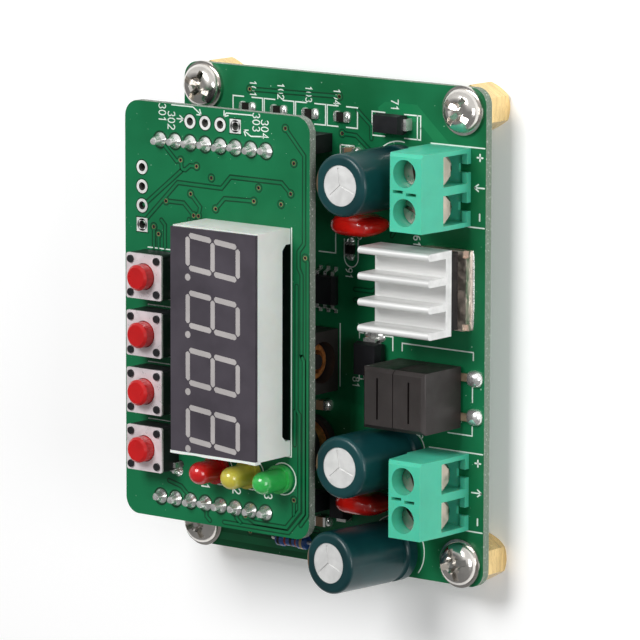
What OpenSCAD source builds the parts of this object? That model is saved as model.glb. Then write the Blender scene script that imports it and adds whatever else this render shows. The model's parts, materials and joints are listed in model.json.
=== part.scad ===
// Two-board adjustable step-down (buck) converter module.
// A power board on four hex standoffs carries the terminals, heatsink, inductors and
// capacitors. A control board with display, lamps and push switches plugs in above it.
// Frame: +Z up, origin in the middle of the four standoffs on the plane of their feet.
// +X runs towards the wire entries and +Y towards the input terminal.

/* [Boards] */
// Width of the power board
board_w = 50; // [48:0.5:56]
// Length of the power board
board_l = 65; // [65:0.5:75]
// Thickness of both boards
pcb_t = 1.2; // [0.8:0.1:2]
// Corner radius of both boards
pcb_r = 2.2; // [0.5:0.1:3]
// Middle of a standoff inside the power board's long edge
hole_inset_x = 3.5; // [3.4:0.1:4]
// Middle of a standoff inside the power board's short edge
hole_inset_y = 3; // [2.8:0.1:3.2]
// Radius of the screw holes in the power board
board_hole_r = 1.7; // [1.7:0.05:1.8]
// Width of the control board
deck_w = 31; // [30:0.5:33]
// Length of the control board
deck_l = 55.2; // [54:0.2:60]
// Control board's long edge inside the power board's edge
deck_inset = 0; // [0:0.1:0.3]
// Middle of the control board along the power board
deck_y = 0.9; // [0:0.1:2]

/* [Standoffs and screws] */
// Height of the hex standoffs
foot_h = 5; // [4:0.5:12]
// Standoff size across its flats
foot_af = 5.5; // [5:0.1:6]
// Chamfer at the free end of a standoff
foot_chamfer = 0.5; // [0.2:0.1:0.8]
// Radius of the open thread at the free end
foot_thread_r = 1.5; // [1.45:0.01:1.6]
// Depth of the open thread
foot_thread_depth = 2.2; // [1.5:0.1:2.3]
// Radius of the thread that the corner screw engages, at its pitch line
grip_r = 1.3; // [1.25:0.01:1.34]
// Radius of the corner screw's flange
head_r = 3.2; // [2.8:0.1:3.4]
// Height of the corner screw's head
head_h = 1.9; // [1.5:0.1:2.4]
// Thickness of the corner screw's flange
flange_t = 0.5; // [0.3:0.1:0.8]
// Length of the corner screw's shank
shank_l = 3.8; // [3:0.1:3.9]
// Running clearance between screws and their threads
thread_gap = 0.03; // [0.02:0.01:0.06]

/* [Terminals] */
// Distance between the two poles
pole_pitch = 5; // [4.9:0.02:5.2]
// Width of a terminal body
terminal_w = 10.1; // [10:0.1:11]
// Height of a terminal body
terminal_h = 10; // [9.8:0.1:11]
// Depth of a terminal body at its base
terminal_d = 6.6; // [6.5:0.1:7]
// Wire face of the terminals inside the board's long edge
terminal_inset = 2.4; // [2.2:0.1:2.6]
// Middle of the input terminal inside the board's short edge
input_inset = 12.8; // [12.6:0.1:13]
// Middle of the output terminal inside the board's short edge
output_inset = 12.5; // [12.5:0.1:12.7]
// Width of a wire opening
window_w = 3.9; // [3.8:0.05:4.1]
// Top of the wire openings above the board
window_top = 5.8; // [5.7:0.1:6]
// Height of the sill below a wire opening
sill_h = 0.8; // [0.6:0.1:0.9]
// Radius of a screw well
well_r = 1.8; // [1.7:0.05:1.9]
// Screw axis behind the wire face
screw_inset = 3.05; // [2.95:0.05:3.1]
// Radius of a terminal screw's shank
clamp_r = 1.2; // [1:0.05:1.25]
// Travel of a wire cage
cage_travel = 1.5; // [1:0.1:1.5]
// Sheet thickness of a wire cage
cage_t = 0.5; // [0.4:0.05:0.55]
// Length of a wire cage along the wire
cage_l = 3.1; // [2.8:0.1:3.2]

/* [Heatsink and regulator] */
// Heatsink length along the fins
sink_l = 11.4; // [11:0.1:12]
// Heatsink width across the fins
sink_w = 11.1; // [11:0.1:11.6]
// Heatsink height
sink_h = 4.9; // [4:0.1:10]
// Thickness of the heatsink's base
sink_base = 1.2; // [1:0.1:2]
// Thickness of a fin
fin_t = 0.95; // [0.7:0.05:1.3]
// Number of fins
fin_count = 4; // [3:1:5]
// Middle of the heatsink inside the board's long edge
sink_inset = 7.7; // [7.6:0.1:7.8]
// Middle of the regulator along the board
regulator_y = 6.35; // [6.3:0.05:6.4]
// Length of the regulator's body
regulator_l = 8.9; // [8.6:0.1:9.2]
// Width of the regulator's body
regulator_w = 10.1; // [10:0.1:10.4]
// Height of the regulator's body
regulator_h = 4.5; // [4.3:0.1:4.7]
// End of the regulator's tab inside the board's long edge
tab_inset = 2.1; // [2:0.1:2.3]
// Thickness of the regulator's tab
tab_t = 1.3; // [1.2:0.05:1.4]
// How far the tab stands out of the regulator's body
tab_out = 1.3; // [1.2:0.05:1.4]
// Distance between the regulator's leads
regulator_pitch = 1.7; // [1.6:0.02:1.8]
// Reach of the regulator's leads
regulator_reach = 4; // [3.8:0.1:4.2]

/* [Inductors] */
// Ferrite inductor size across the board
ferrite_w = 10; // [9.6:0.1:10.2]
// Ferrite inductor size along the board
ferrite_l = 8; // [7.8:0.1:8]
// Ferrite inductor height
ferrite_h = 7.9; // [7.6:0.1:9]
// Middle of the ferrite inductor inside the board's long edge
ferrite_inset = 8.4; // [8.3:0.05:8.5]
// Middle of the ferrite inductor along the board
ferrite_y = -7.6; // [-7.6:0.05:-7.5]
// Gap between the two ferrite halves
ferrite_gap = 0.12; // [0.1:0.02:0.2]
// Radius of the ferrite inductor's coil
coil_r = 3; // [2.9:0.05:3.1]
// Side of the square choke
choke_w = 8.2; // [8:0.1:8.3]
// Height of the choke
choke_h = 6.6; // [6.5:0.1:7]
// Radius of the choke's round side opening
choke_open_r = 2.75; // [2.7:0.05:2.8]
// Outer radius of the drum inductor
drum_r = 3.8; // [3.6:0.1:3.9]
// Height of the drum inductor
drum_h = 5; // [4.5:0.1:6]

/* [Capacitors] */
// Radius of an electrolytic capacitor's can
can_r = 3.95; // [3.8:0.01:3.98]
// Height of an electrolytic capacitor
can_h = 12.5; // [11:0.1:14]
// Thickness of the capacitor's sleeve
sleeve_t = 0.13; // [0.1:0.01:0.15]
// Width of the sleeve's fold over the capacitor's top
sleeve_fold = 1.3; // [1:0.05:1.6]
// Lean of the third capacitor, in degrees
lean = 6; // [4:0.5:6]
// Width of a dipped film capacitor
film_w = 7; // [6.8:0.1:7.2]
// Height of a dipped film capacitor
film_h = 6.6; // [6:0.1:8]
// Thickness of a dipped film capacitor
film_t = 3; // [2.8:0.05:3]

/* [Display and lamps] */
// Width of the display
display_w = 14.1; // [13.8:0.1:14.4]
// Length of the display
display_l = 29.7; // [29.6:0.1:30.4]
// Height of the display
display_h = 7.2; // [7:0.1:8]
// Height of a digit
digit_h = 9.1; // [8.8:0.05:9.2]
// Width of a digit's segment
segment_t = 0.76; // [0.7:0.02:0.9]
// Lean of the digits, in degrees
digit_slant = 6; // [4:0.5:8]
// Radius of a lamp
led_r = 1.5; // [1.4:0.05:1.6]
// Height of a lamp
led_h = 5.3; // [4.5:0.1:6]

/* [Push switches] */
// Side of a square push switch
switch_w = 6; // [5.8:0.05:6.1]
// Height of a push switch's body
switch_h = 3.5; // [3.4:0.1:4]
// Distance between push switches
switch_pitch = 7.62; // [7.5:0.02:7.7]
// Radius of a button
button_r = 1.7; // [1.6:0.05:1.8]
// How far a button stands out of its switch
button_out = 1.7; // [1:0.1:3]
// Travel of a button
button_travel = 0.25; // [0.2:0.01:0.3]

/* [Small parts] */
// Length of a chip resistor or chip capacitor
chip_part_l = 2; // [1.8:0.05:2.2]
// Width of a chip resistor or chip capacitor
chip_part_w = 1.25; // [1:0.05:1.4]
// Length of the power diode's body
power_diode_l = 4.5; // [4.3:0.1:4.7]
// Width of the power diode's body
power_diode_w = 3.9; // [3.6:0.1:4]

/* [Headers] */
// Distance between pins
pin_pitch = 2.54; // [2.5:0.01:2.56]
// Pins in each of the two board-to-board headers
pin_count = 8; // [6:1:8]
// Distance between the two header rows
row_gap = 47.5; // [47:0.1:48]
// Height of a header socket
socket_h = 8.5; // [7:0.1:12]
// Thickness of the plastic strip on the header pins
strip_h = 2.5; // [2:0.1:3]
// Half the thickness of a square header pin
pin_half = 0.32; // [0.28:0.01:0.34]

/* [Hidden] */
$fn = 48;
eps = 0.01;

// Levels
top_z = foot_h + pcb_t;                        // top of the power board
deck_z = top_z + socket_h + strip_h;           // underside of the control board
deck_top = deck_z + pcb_t;                     // top of the control board
clamp_gap = 0.05;                              // running clearance of the terminal screws
slide_gap = 0.1;                               // clearance of parts that slide in plastic
lead_r = 0.3;                                  // radius of a round lead
thin_lead_r = 0.25;                            // radius of a thin lead
lead_hole_r = 0.42;                            // radius of a plated lead hole
lead_out = 1;                                  // how far a clipped lead stands out below

// Places on the power board. Parts near an edge keep their distance from that edge.
right_x = board_w / 2;
far_y = board_l / 2;
hole_spots = [for (x = [-1, 1], y = [-1, 1])
    [x * (right_x - hole_inset_x), y * (far_y - hole_inset_y)]];
terminal_face_x = right_x - terminal_inset;
input_terminal_y = far_y - input_inset;
output_terminal_y = -far_y + output_inset;
screw_x = terminal_face_x - screw_inset;
pole_ys = [input_terminal_y + pole_pitch / 2, input_terminal_y - pole_pitch / 2,
           output_terminal_y + pole_pitch / 2, output_terminal_y - pole_pitch / 2];
sleeve_r = can_r + sleeve_t;
sink_x = right_x - sink_inset;
sink_y = regulator_y + 0.2;
tab_end_x = right_x - tab_inset;
ferrite_x = right_x - ferrite_inset;
input_can = [right_x - 13.9, input_terminal_y + 0.5];
output_can = [right_x - 13.85, output_terminal_y + 3.65];
leaning_can = [right_x - 14, -far_y + 3.5];
can_lead_pitch = 3.5;
film_lead_pitch = 5;
input_film = [right_x - 17.7, input_terminal_y - 5.85];
output_film = [right_x - 16.7, output_terminal_y - 2.65];
deck_x = -right_x + deck_inset + deck_w / 2;
deck_right_x = deck_x + deck_w / 2;
choke_at = [deck_right_x - 9, -5];
drum_at = [deck_right_x - 8.8, -16.4];
row_x = deck_x - 0.6;
row_mid_y = -0.15;
row_ys = [row_mid_y + row_gap / 2, row_mid_y - row_gap / 2];
pin_xs = [for (i = [0 : pin_count - 1]) row_x + (i - (pin_count - 1) / 2) * pin_pitch];
pin_hole_r = 0.57;
resistor_at = [deck_right_x - 11.2, -far_y + 2.7];
resistor_span = 7.6;
resistor_r = 0.95;
resistor_body_l = 5;
resistor_z = 1.5;
chip_at = [deck_right_x - 7.1, 4.2];
power_diode_at = [ferrite_x - 9.3, ferrite_y + 3.5];
small_diodes = [[right_x - 14.5, far_y - 5.5, 0], [deck_right_x - 3.3, -far_y + 8.8, 90]];
chip_pitch = 5.28;
chip_resistor_spots = concat(
    [for (i = [0 : 3]) [deck_right_x - 4.3 - chip_pitch * i, far_y - 5.4, 0]],
    [[deck_right_x - 2.75, 9.85, 90]]);
chip_capacitor_spots = [[deck_right_x - 7.1, -11.2, 0], [deck_right_x - 7.1, -far_y + 5.7, 0],
                        [right_x - 21.5, input_terminal_y + 2.9, 0]];

// Places on the control board
serial_y = 26.4;
serial_xs = [for (i = [2 : 5]) row_x + (i - 3.5) * pin_pitch];
side_x = deck_x - 12.6;
side_ys = [for (i = [0 : 3]) 19.7 - i * pin_pitch];
display_at = [deck_x + 5.3, -0.95];
display_pin_rows = [-5.08, 5.08];
display_pin_ys = [for (i = [0 : 5]) display_at[1] + (i - 2.5) * pin_pitch];
led_pitch = 5.3;
led_spots = [for (i = [-1 : 1])
    [display_at[0] + 0.4 + i * led_pitch, display_at[1] - display_l / 2 - led_r - 1.7]];
led_lead_pitch = 2.54;
switch_x = deck_x - 9.4;
switch_ys = [for (i = [0 : 3]) 5.9 - i * switch_pitch];
leg_x = 3.25;
leg_y = 2.25;

// A flat plate with round corners, centred on the Z axis
module rounded_plate(w, l, t, r) {
    translate([-w / 2 + r, -l / 2, 0]) cube([w - 2 * r, l, t]);
    translate([-w / 2, -l / 2 + r, 0]) cube([w, l - 2 * r, t]);
    for (x = [-1, 1], y = [-1, 1])
        translate([x * (w / 2 - r), y * (l / 2 - r), 0]) cylinder(r = r, h = t);
}

// A drilled hole through a plate whose underside is at z = 0
module drill(at, r, t) {
    translate([at[0], at[1], -1]) cylinder(r = r, h = t + 2, $fn = 24);
}

// Lead places of a two-lead part, side by side along Y or along X
function leads_y(at, pitch) = [[at[0], at[1] - pitch / 2], [at[0], at[1] + pitch / 2]];
function leads_x(at, pitch) = [[at[0] - pitch / 2, at[1]], [at[0] + pitch / 2, at[1]]];

power_lead_spots = concat(
    leads_y(input_can, can_lead_pitch), leads_y(output_can, can_lead_pitch),
    leads_y(leaning_can, can_lead_pitch),
    leads_x(input_film, film_lead_pitch), leads_x(output_film, film_lead_pitch),
    leads_x(resistor_at, resistor_span));
contact_pin_x = terminal_face_x - terminal_d + 1.6;
contact_pin_half = 0.4;

// ---------------------------------------------------------------- boards

module main_board() {
    color("darkgreen")
    translate([0, 0, foot_h])
    difference() {
        rounded_plate(board_w, board_l, pcb_t, pcb_r);
        for (p = hole_spots) drill(p, board_hole_r, pcb_t);
        for (p = power_lead_spots) drill(p, lead_hole_r, pcb_t);
        for (x = pin_xs, y = row_ys) drill([x, y], pin_hole_r, pcb_t);
        for (y = pole_ys) drill([contact_pin_x, y], contact_pin_half * sqrt(2) + 0.05, pcb_t);
    }
}

module control_board() {
    color("darkgreen")
    translate([0, 0, deck_z])
    difference() {
        translate([deck_x, deck_y, 0]) rounded_plate(deck_w, deck_l, pcb_t, pcb_r);
        for (x = pin_xs, y = row_ys) drill([x, y], pin_hole_r, pcb_t);
        for (x = serial_xs) drill([x, serial_y], pin_hole_r, pcb_t);
        for (y = side_ys) drill([side_x, y], pin_hole_r, pcb_t);
        for (x = display_pin_rows, y = display_pin_ys)
            drill([display_at[0] + x, y], lead_hole_r, pcb_t);
        for (p = led_spots, q = leads_x(p, led_lead_pitch)) drill(q, lead_hole_r, pcb_t);
        for (y = switch_ys, i = [-1, 1], j = [-1, 1])
            drill([switch_x + i * leg_x, y + j * leg_y], pin_hole_r, pcb_t);
    }
}

// Hex standoff, chamfered at its free end, threaded from both ends
module standoff() {
    corner_r = foot_af / 2 / cos(30);
    difference() {
        intersection() {
            rotate([0, 0, 30]) cylinder(r = corner_r, h = foot_h, $fn = 6);
            rotate_extrude() polygon([
                [0, 0], [corner_r - foot_chamfer, 0], [corner_r + eps, foot_chamfer + eps],
                [corner_r + eps, foot_h], [0, foot_h]]);
        }
        translate([0, 0, -1]) cylinder(r = foot_thread_r, h = foot_thread_depth + 1);
        cylinder(r = grip_r, h = foot_h + 1);
    }
}

module standoffs() {
    color("goldenrod")
    for (p = hole_spots) translate([p[0], p[1], 0]) standoff();
}

// Pan-head screw with a thin flange and a cross recess
module corner_screw() {
    dome_r = head_r - 0.35;
    crown_h = head_h - flange_t;
    recess_r = dome_r * 0.74;
    recess_w = 0.84;
    recess_depth = head_h / 2;
    difference() {
        union() {
            translate([0, 0, -shank_l]) cylinder(r = grip_r - thread_gap, h = shank_l + eps);
            cylinder(r = head_r, h = flange_t);
            translate([0, 0, flange_t]) rotate_extrude() {
                square([dome_r - crown_h, crown_h]);
                translate([dome_r - crown_h, 0]) intersection() {
                    circle(r = crown_h);
                    square([crown_h, crown_h]);
                }
            }
        }
        for (a = [0, 90]) rotate([0, 0, a])
            translate([-recess_r, -recess_w / 2, head_h - recess_depth])
                cube([2 * recess_r, recess_w, recess_depth + 1]);
        translate([0, 0, head_h - 1.3]) cylinder(r1 = 0.5, r2 = 1.25, h = 1.3 + eps);
    }
}

module corner_screws() {
    color("silver")
    for (i = [0 : 3]) translate([hole_spots[i][0], hole_spots[i][1], top_z])
        rotate([0, 0, 25 + 40 * i]) corner_screw();
}

// ---------------------------------------------------------------- terminals

ledge_z = window_top + 0.6;                    // shelf that a terminal screw's head sits on
clamp_head_r = well_r - slide_gap;
clamp_head_h = 1.4;
clamp_tip_z = 3.6;
contact_t = 0.6;                               // thickness of the fixed contact bar
contact_w = 1.6;
guard_t = 0.35;                                // thickness of the plate in front of a cage
contact_bar_z = clamp_tip_z - clamp_gap - contact_t;
cage_r = window_w / 2 - slide_gap;             // outer half width of a wire cage
cage_top_z = window_top - slide_gap;           // top of a raised cage
cage_round_z = contact_bar_z + 1;              // middle of the cage's round bottom

module terminal_profile() {
    polygon([
        [0, 0], [terminal_d, 0], [terminal_d, window_top], [terminal_d - 0.35, terminal_h],
        [1.25, terminal_h], [0.9, terminal_h - 0.6], [0.35, 4.5], [0, 4.5]]);
}

module terminal_body(y) {
    back_x = terminal_face_x - terminal_d;
    chamber_x = back_x + 1.1;
    floor_t = 0.45;
    end_bevel = 0.45;
    color("mediumaquamarine")
    translate([0, 0, top_z])
    difference() {
        translate([back_x, y + terminal_w / 2, 0]) rotate([90, 0, 0])
            linear_extrude(height = terminal_w) terminal_profile();
        for (s = [-1, 1]) {
            translate([0, y + s * pole_pitch / 2, 0]) {
                translate([chamber_x, -window_w / 2, floor_t])
                    cube([terminal_d - 1.1 - 0.8, window_w, window_top - floor_t]);
                translate([chamber_x, -window_w / 2, sill_h])
                    cube([terminal_d, window_w, window_top - sill_h]);
                translate([terminal_face_x - 1.6, -0.55, -1]) cube([3, 1.1, sill_h + 2]);
                translate([screw_x, 0, ledge_z]) cylinder(r = well_r, h = terminal_h);
                translate([screw_x, 0, window_top - 1]) cylinder(r = clamp_r + slide_gap, h = 3);
                translate([contact_pin_x, 0, -1])
                    cylinder(r = contact_pin_half * sqrt(2) + 0.05, h = 3, $fn = 24);
            }
        }
        for (s = [-1, 1]) translate([screw_x + s * 1.05, y - s * 0.12, terminal_h])
            cube([1.6, 0.4, 3], center = true);
        translate([back_x - 1, y + terminal_w / 2, terminal_h]) rotate([45, 0, 0])
            translate([0, -end_bevel / sqrt(2), -end_bevel / sqrt(2)])
                cube([terminal_d + 2, end_bevel * sqrt(2), end_bevel * sqrt(2)]);
    }
}

// Fixed contact of one pole: a pin through the board, an upright, the bar that the wire is
// pulled against, and a pointed guard plate that closes the top of the wire opening
module terminal_contact(y) {
    guard_x = screw_x + cage_l / 2 + slide_gap;
    guard_w = window_w - 3 * slide_gap;
    guard_cut = 1.2;
    translate([0, y, top_z]) {
        translate([contact_pin_x - contact_pin_half, -contact_pin_half, -pcb_t - lead_out])
            cube([2 * contact_pin_half, 2 * contact_pin_half, 3]);
        translate([contact_pin_x - contact_pin_half, -contact_w / 2, 0.5])
            cube([0.5, contact_w, contact_bar_z + contact_t - 0.5]);
        translate([contact_pin_x - contact_pin_half, -contact_w / 2, contact_bar_z])
            cube([guard_x + guard_t - contact_pin_x + contact_pin_half, contact_w, contact_t]);
        translate([guard_x, 0, 0]) rotate([90, 0, 90]) linear_extrude(height = guard_t)
            polygon([
                [-guard_w / 2, cage_top_z], [-guard_w / 2, contact_bar_z + guard_cut],
                [-contact_w / 2, contact_bar_z], [contact_w / 2, contact_bar_z],
                [guard_w / 2, contact_bar_z + guard_cut], [guard_w / 2, cage_top_z]]);
    }
}

module terminal_contacts() {
    color("rosybrown") for (y = pole_ys) terminal_contact(y);
}

// Slotted screw that turns in place and lifts its cage
module terminal_screw(y, turn) {
    slot_w = 0.5;
    color("silver")
    translate([screw_x, y, top_z]) rotate([0, 0, turn])
    difference() {
        union() {
            translate([0, 0, clamp_tip_z])
                cylinder(r = clamp_r, h = ledge_z + clamp_gap - clamp_tip_z + eps);
            translate([0, 0, ledge_z + clamp_gap]) cylinder(r = clamp_head_r, h = clamp_head_h);
        }
        translate([-2, -slot_w / 2, ledge_z + clamp_gap + clamp_head_h - 0.7])
            cube([4, slot_w, 1]);
    }
}

// Wire cage: a folded strip with a threaded top and a round bottom
module wire_cage(y) {
    color("gainsboro")
    translate([screw_x - cage_l / 2, y, top_z])
    difference() {
        rotate([90, 0, 90]) linear_extrude(height = cage_l) difference() {
            union() {
                translate([0, cage_round_z]) circle(r = cage_r);
                translate([-cage_r, cage_round_z])
                    square([2 * cage_r, cage_top_z - cage_round_z]);
            }
            translate([0, cage_round_z]) circle(r = cage_r - cage_t);
            translate([-cage_r + cage_t, cage_round_z])
                square([2 * (cage_r - cage_t), cage_top_z - cage_round_z - cage_t - 0.1]);
        }
        translate([cage_l / 2, 0, cage_top_z - 2]) cylinder(r = clamp_r + clamp_gap, h = 3);
    }
}

module input_terminal_body() { terminal_body(input_terminal_y); }
module output_terminal_body() { terminal_body(output_terminal_y); }
module input_plus_screw() { terminal_screw(pole_ys[0], 100); }
module input_minus_screw() { terminal_screw(pole_ys[1], 160); }
module output_plus_screw() { terminal_screw(pole_ys[2], 110); }
module output_minus_screw() { terminal_screw(pole_ys[3], 130); }
module input_plus_cage() { wire_cage(pole_ys[0]); }
module input_minus_cage() { wire_cage(pole_ys[1]); }
module output_plus_cage() { wire_cage(pole_ys[2]); }
module output_minus_cage() { wire_cage(pole_ys[3]); }

// ---------------------------------------------------------------- heatsink and regulator

module heatsink() {
    fin_step = (sink_w - fin_t) / (fin_count - 1);
    color("whitesmoke")
    translate([sink_x - sink_l / 2, sink_y, top_z + regulator_h])
    rotate([90, 0, 90]) linear_extrude(height = sink_l) union() {
        translate([-sink_w / 2, 0]) square([sink_w, sink_base]);
        for (i = [0 : fin_count - 1]) translate([-sink_w / 2 + fin_t / 2 + i * fin_step, 0]) {
            translate([-fin_t / 2, 0]) square([fin_t, sink_h - fin_t / 2]);
            translate([0, sink_h - fin_t / 2]) circle(d = fin_t, $fn = 24);
        }
    }
}

regulator_x = tab_end_x - tab_out - regulator_l;   // lead side of the regulator's body
tab_inside = regulator_l * 2 / 3;              // length of tab under the moulding
lead_exit_z = regulator_h * 0.44;              // underside of a lead where it leaves the body
regulator_lead_t = 0.5;
regulator_lead_w = regulator_pitch * 0.47;

module regulator_body() {
    color([0.1, 0.1, 0.11])
    difference() {
        translate([regulator_x, regulator_y + regulator_w / 2, top_z]) rotate([90, 0, 0])
            linear_extrude(height = regulator_w) polygon([
                [0, 0.1], [regulator_l, 0.1], [regulator_l, tab_t],
                [regulator_l - 0.25, regulator_h], [0.25, regulator_h], [0, 2.4]]);
        translate([regulator_x + regulator_l - tab_inside, regulator_y - regulator_w, top_z - 1])
            cube([tab_inside + 1, 2 * regulator_w, 1 + tab_t]);
        for (i = [-2 : 2])
            translate([regulator_x - 1, regulator_y + i * regulator_pitch - regulator_lead_w / 2,
                       top_z + lead_exit_z])
                cube([2, regulator_lead_w, regulator_lead_t]);
    }
}

// Copper tab with a notch at each end of its free edge, and five formed leads
module regulator_tab() {
    color("rosybrown") {
        difference() {
            translate([tab_end_x - tab_out - tab_inside, regulator_y - regulator_w / 2 - 0.15,
                       top_z])
                cube([tab_inside + tab_out, regulator_w + 0.3, tab_t]);
            for (s = [-1, 1])
                translate([tab_end_x - tab_out * 0.42, regulator_y + s * regulator_w / 2 - 0.75,
                           top_z + tab_t / 2])
                    cube([tab_out, 1.5, tab_t]);
        }
        for (i = [-2 : 2])
            translate([regulator_x, regulator_y + i * regulator_pitch + regulator_lead_w / 2,
                       top_z])
            rotate([90, 0, 0]) linear_extrude(height = regulator_lead_w) polygon([
                [1, lead_exit_z], [1, lead_exit_z + regulator_lead_t],
                [-regulator_reach * 0.4, lead_exit_z + regulator_lead_t],
                [-regulator_reach * 0.55, regulator_lead_t], [-regulator_reach, regulator_lead_t],
                [-regulator_reach, 0], [-regulator_reach * 0.45, 0],
                [-regulator_reach * 0.3, lead_exit_z]]);
    }
}

// ---------------------------------------------------------------- inductors

ferrite_base = 0.5;                            // the coil's tails run under the core
ferrite_mid_z = ferrite_base + ferrite_h / 2;
coil_gap = 0.2;
post_r = 1.6;
half_w = (ferrite_w - ferrite_gap) / 2;

// One half of the core, its joint face at x = 0, pointing to +X
module ferrite_half() {
    bevel = 0.5;
    depth = half_w - 1.6;
    difference() {
        translate([0, ferrite_l / 2, 0]) rotate([90, 0, 0]) linear_extrude(height = ferrite_l)
            polygon([
                [0, ferrite_base], [half_w, ferrite_base], [half_w, ferrite_base + ferrite_h - bevel],
                [half_w - bevel, ferrite_base + ferrite_h], [0, ferrite_base + ferrite_h]]);
        for (s = [-1, 1]) translate([-1, s * ferrite_l / 2, ferrite_base + ferrite_h])
            rotate([45, 0, 0]) translate([0, -bevel / sqrt(2), -bevel / sqrt(2)])
                cube([ferrite_w, bevel * sqrt(2), bevel * sqrt(2)]);
        difference() {
            union() {
                translate([-1, 0, ferrite_mid_z]) rotate([0, 90, 0])
                    cylinder(r = coil_r + coil_gap, h = depth + 1);
                translate([-1, -coil_r - coil_gap, 0])
                    cube([depth + 1, 2 * (coil_r + coil_gap), ferrite_mid_z]);
            }
            translate([-2, 0, ferrite_mid_z]) rotate([0, 90, 0]) cylinder(r = post_r, h = depth + 3);
        }
        translate([half_w / 2 - 0.15, -2.7, ferrite_base + ferrite_h - 0.45]) cube([0.3, 5.4, 1]);
    }
}

module ferrite_core_left() {
    color([0.23, 0.21, 0.21]) translate([ferrite_x - ferrite_gap / 2, ferrite_y, top_z])
        mirror([1, 0, 0]) ferrite_half();
}

module ferrite_core_right() {
    color([0.23, 0.21, 0.21]) translate([ferrite_x + ferrite_gap / 2, ferrite_y, top_z])
        ferrite_half();
}

// Flat-wire coil whose two tails run out under the core to their pads
module ferrite_coil() {
    length = 2 * (half_w - 1.6) - 2 * coil_gap + ferrite_gap;
    tail_x = ferrite_w / 2 + 2;
    tail_y = 2.6;
    color([0.72, 0.42, 0.22])
    translate([ferrite_x, ferrite_y, top_z]) {
        difference() {
            translate([-length / 2, 0, ferrite_mid_z]) rotate([0, 90, 0])
                cylinder(r = coil_r, h = length);
            translate([-length, 0, ferrite_mid_z]) rotate([0, 90, 0])
                cylinder(r = post_r + coil_gap, h = 2 * length);
        }
        for (s = [-1, 1]) {
            translate([length / 2 - 0.5, s * tail_y - 0.5, 0.05]) cube([0.5, 1, ferrite_mid_z]);
            translate([length / 2 - 0.5, s * tail_y - 0.5, 0.05])
                cube([tail_x - length / 2 + 0.5, 1, 0.4]);
        }
    }
}

choke_mid_z = choke_h / 2;
choke_wall = 1.4;
winding_r = choke_open_r - 0.35;
choke_post_r = 1;

// Square ferrite with a round side opening and a post along the middle of it
module choke_core() {
    x0 = choke_at[0] - choke_w / 2;
    color([0.17, 0.16, 0.16])
    difference() {
        translate([x0, choke_at[1] - choke_w / 2, top_z]) cube([choke_w, choke_w, choke_h]);
        difference() {
            translate([x0 + choke_wall, choke_at[1], top_z + choke_mid_z]) rotate([0, 90, 0])
                cylinder(r = choke_open_r, h = choke_w);
            translate([x0, choke_at[1], top_z + choke_mid_z]) rotate([0, 90, 0])
                cylinder(r = choke_post_r, h = choke_w - 0.8);
        }
    }
}

module choke_winding() {
    x0 = choke_at[0] - choke_w / 2 + choke_wall + 0.1;
    wire = 0.8;
    turns = floor((choke_w - choke_wall - 1.1) / wire);
    color([0.75, 0.35, 0.12])
    translate([x0, choke_at[1], top_z + choke_mid_z]) rotate([0, 90, 0]) rotate_extrude()
        difference() {
            for (i = [0 : turns - 1]) translate([winding_r - wire / 2, (i + 0.5) * wire])
                union() {
                    circle(d = wire + 0.02, $fn = 24);
                    translate([-wire / 2, -wire / 2]) square([wire / 2, wire]);
                }
            translate([-1, -1]) square([1 + choke_post_r + 0.08, choke_w + 2]);
        }
}

drum_flange = 1.4;
drum_waist_r = 1.9;

module drum_core() {
    color([0.2, 0.2, 0.21])
    translate([drum_at[0], drum_at[1], top_z]) rotate_extrude() polygon([
        [0, 0], [drum_r - 0.2, 0], [drum_r, 0.2], [drum_r, drum_flange],
        [drum_waist_r, drum_flange], [drum_waist_r, drum_h - drum_flange],
        [drum_r, drum_h - drum_flange], [drum_r, drum_h - 0.2], [drum_r - 0.2, drum_h],
        [0, drum_h]]);
}

module drum_winding() {
    color([0.75, 0.35, 0.12])
    translate([drum_at[0], drum_at[1], top_z + drum_flange + 0.1])
        difference() {
            cylinder(r = drum_r - 0.5, h = drum_h - 2 * drum_flange - 0.2);
            translate([0, 0, -1]) cylinder(r = drum_waist_r + 0.05, h = drum_h);
        }
}

// ---------------------------------------------------------------- capacitors

bung_r = 3.2;
bung_t = 1.2;
groove_z = 1.9;                                // height of the crimped groove
groove_r = 0.75;
groove_depth = 0.35;

rim_r = 0.45;                                  // rounding of the can's top rim
score_t = 0.28;                                // width of a vent score

// Half section of a crimped can, grown outwards by extra
module can_outline(extra) {
    difference() {
        union() {
            square([can_r - rim_r, can_h - sleeve_t + extra]);
            square([can_r + extra, can_h - sleeve_t - rim_r]);
            translate([can_r - rim_r, can_h - sleeve_t - rim_r])
                circle(r = rim_r + extra, $fn = 32);
        }
        translate([can_r + groove_r - groove_depth, groove_z])
            circle(r = groove_r - extra, $fn = 32);
    }
}

// Can with three vent scores across its top
module capacitor_can() {
    difference() {
        rotate_extrude() difference() {
            can_outline(0);
            translate([-1, -1]) square([bung_r + 1, bung_t + 1]);
        }
        for (a = [100, 220, 340]) rotate([0, 0, a])
            translate([0, -score_t / 2, can_h - sleeve_t - 0.12])
                cube([can_r - sleeve_fold - 0.35, score_t, 1]);
    }
}

module capacitor_sleeve() {
    rotate_extrude() difference() {
        can_outline(sleeve_t);
        can_outline(0);
        translate([-1, -1]) square([can_r - sleeve_fold + 1, can_h + 3]);
    }
}

module capacitor_bung() {
    difference() {
        cylinder(r = bung_r, h = bung_t);
        for (s = [-1, 1]) translate([0, s * can_lead_pitch / 2, -1])
            cylinder(r = lead_r, h = bung_t + 2, $fn = 24);
    }
}

lift = sleeve_r * sin(lean) + 0.02;            // keeps the leaning can's rim off the board

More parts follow.
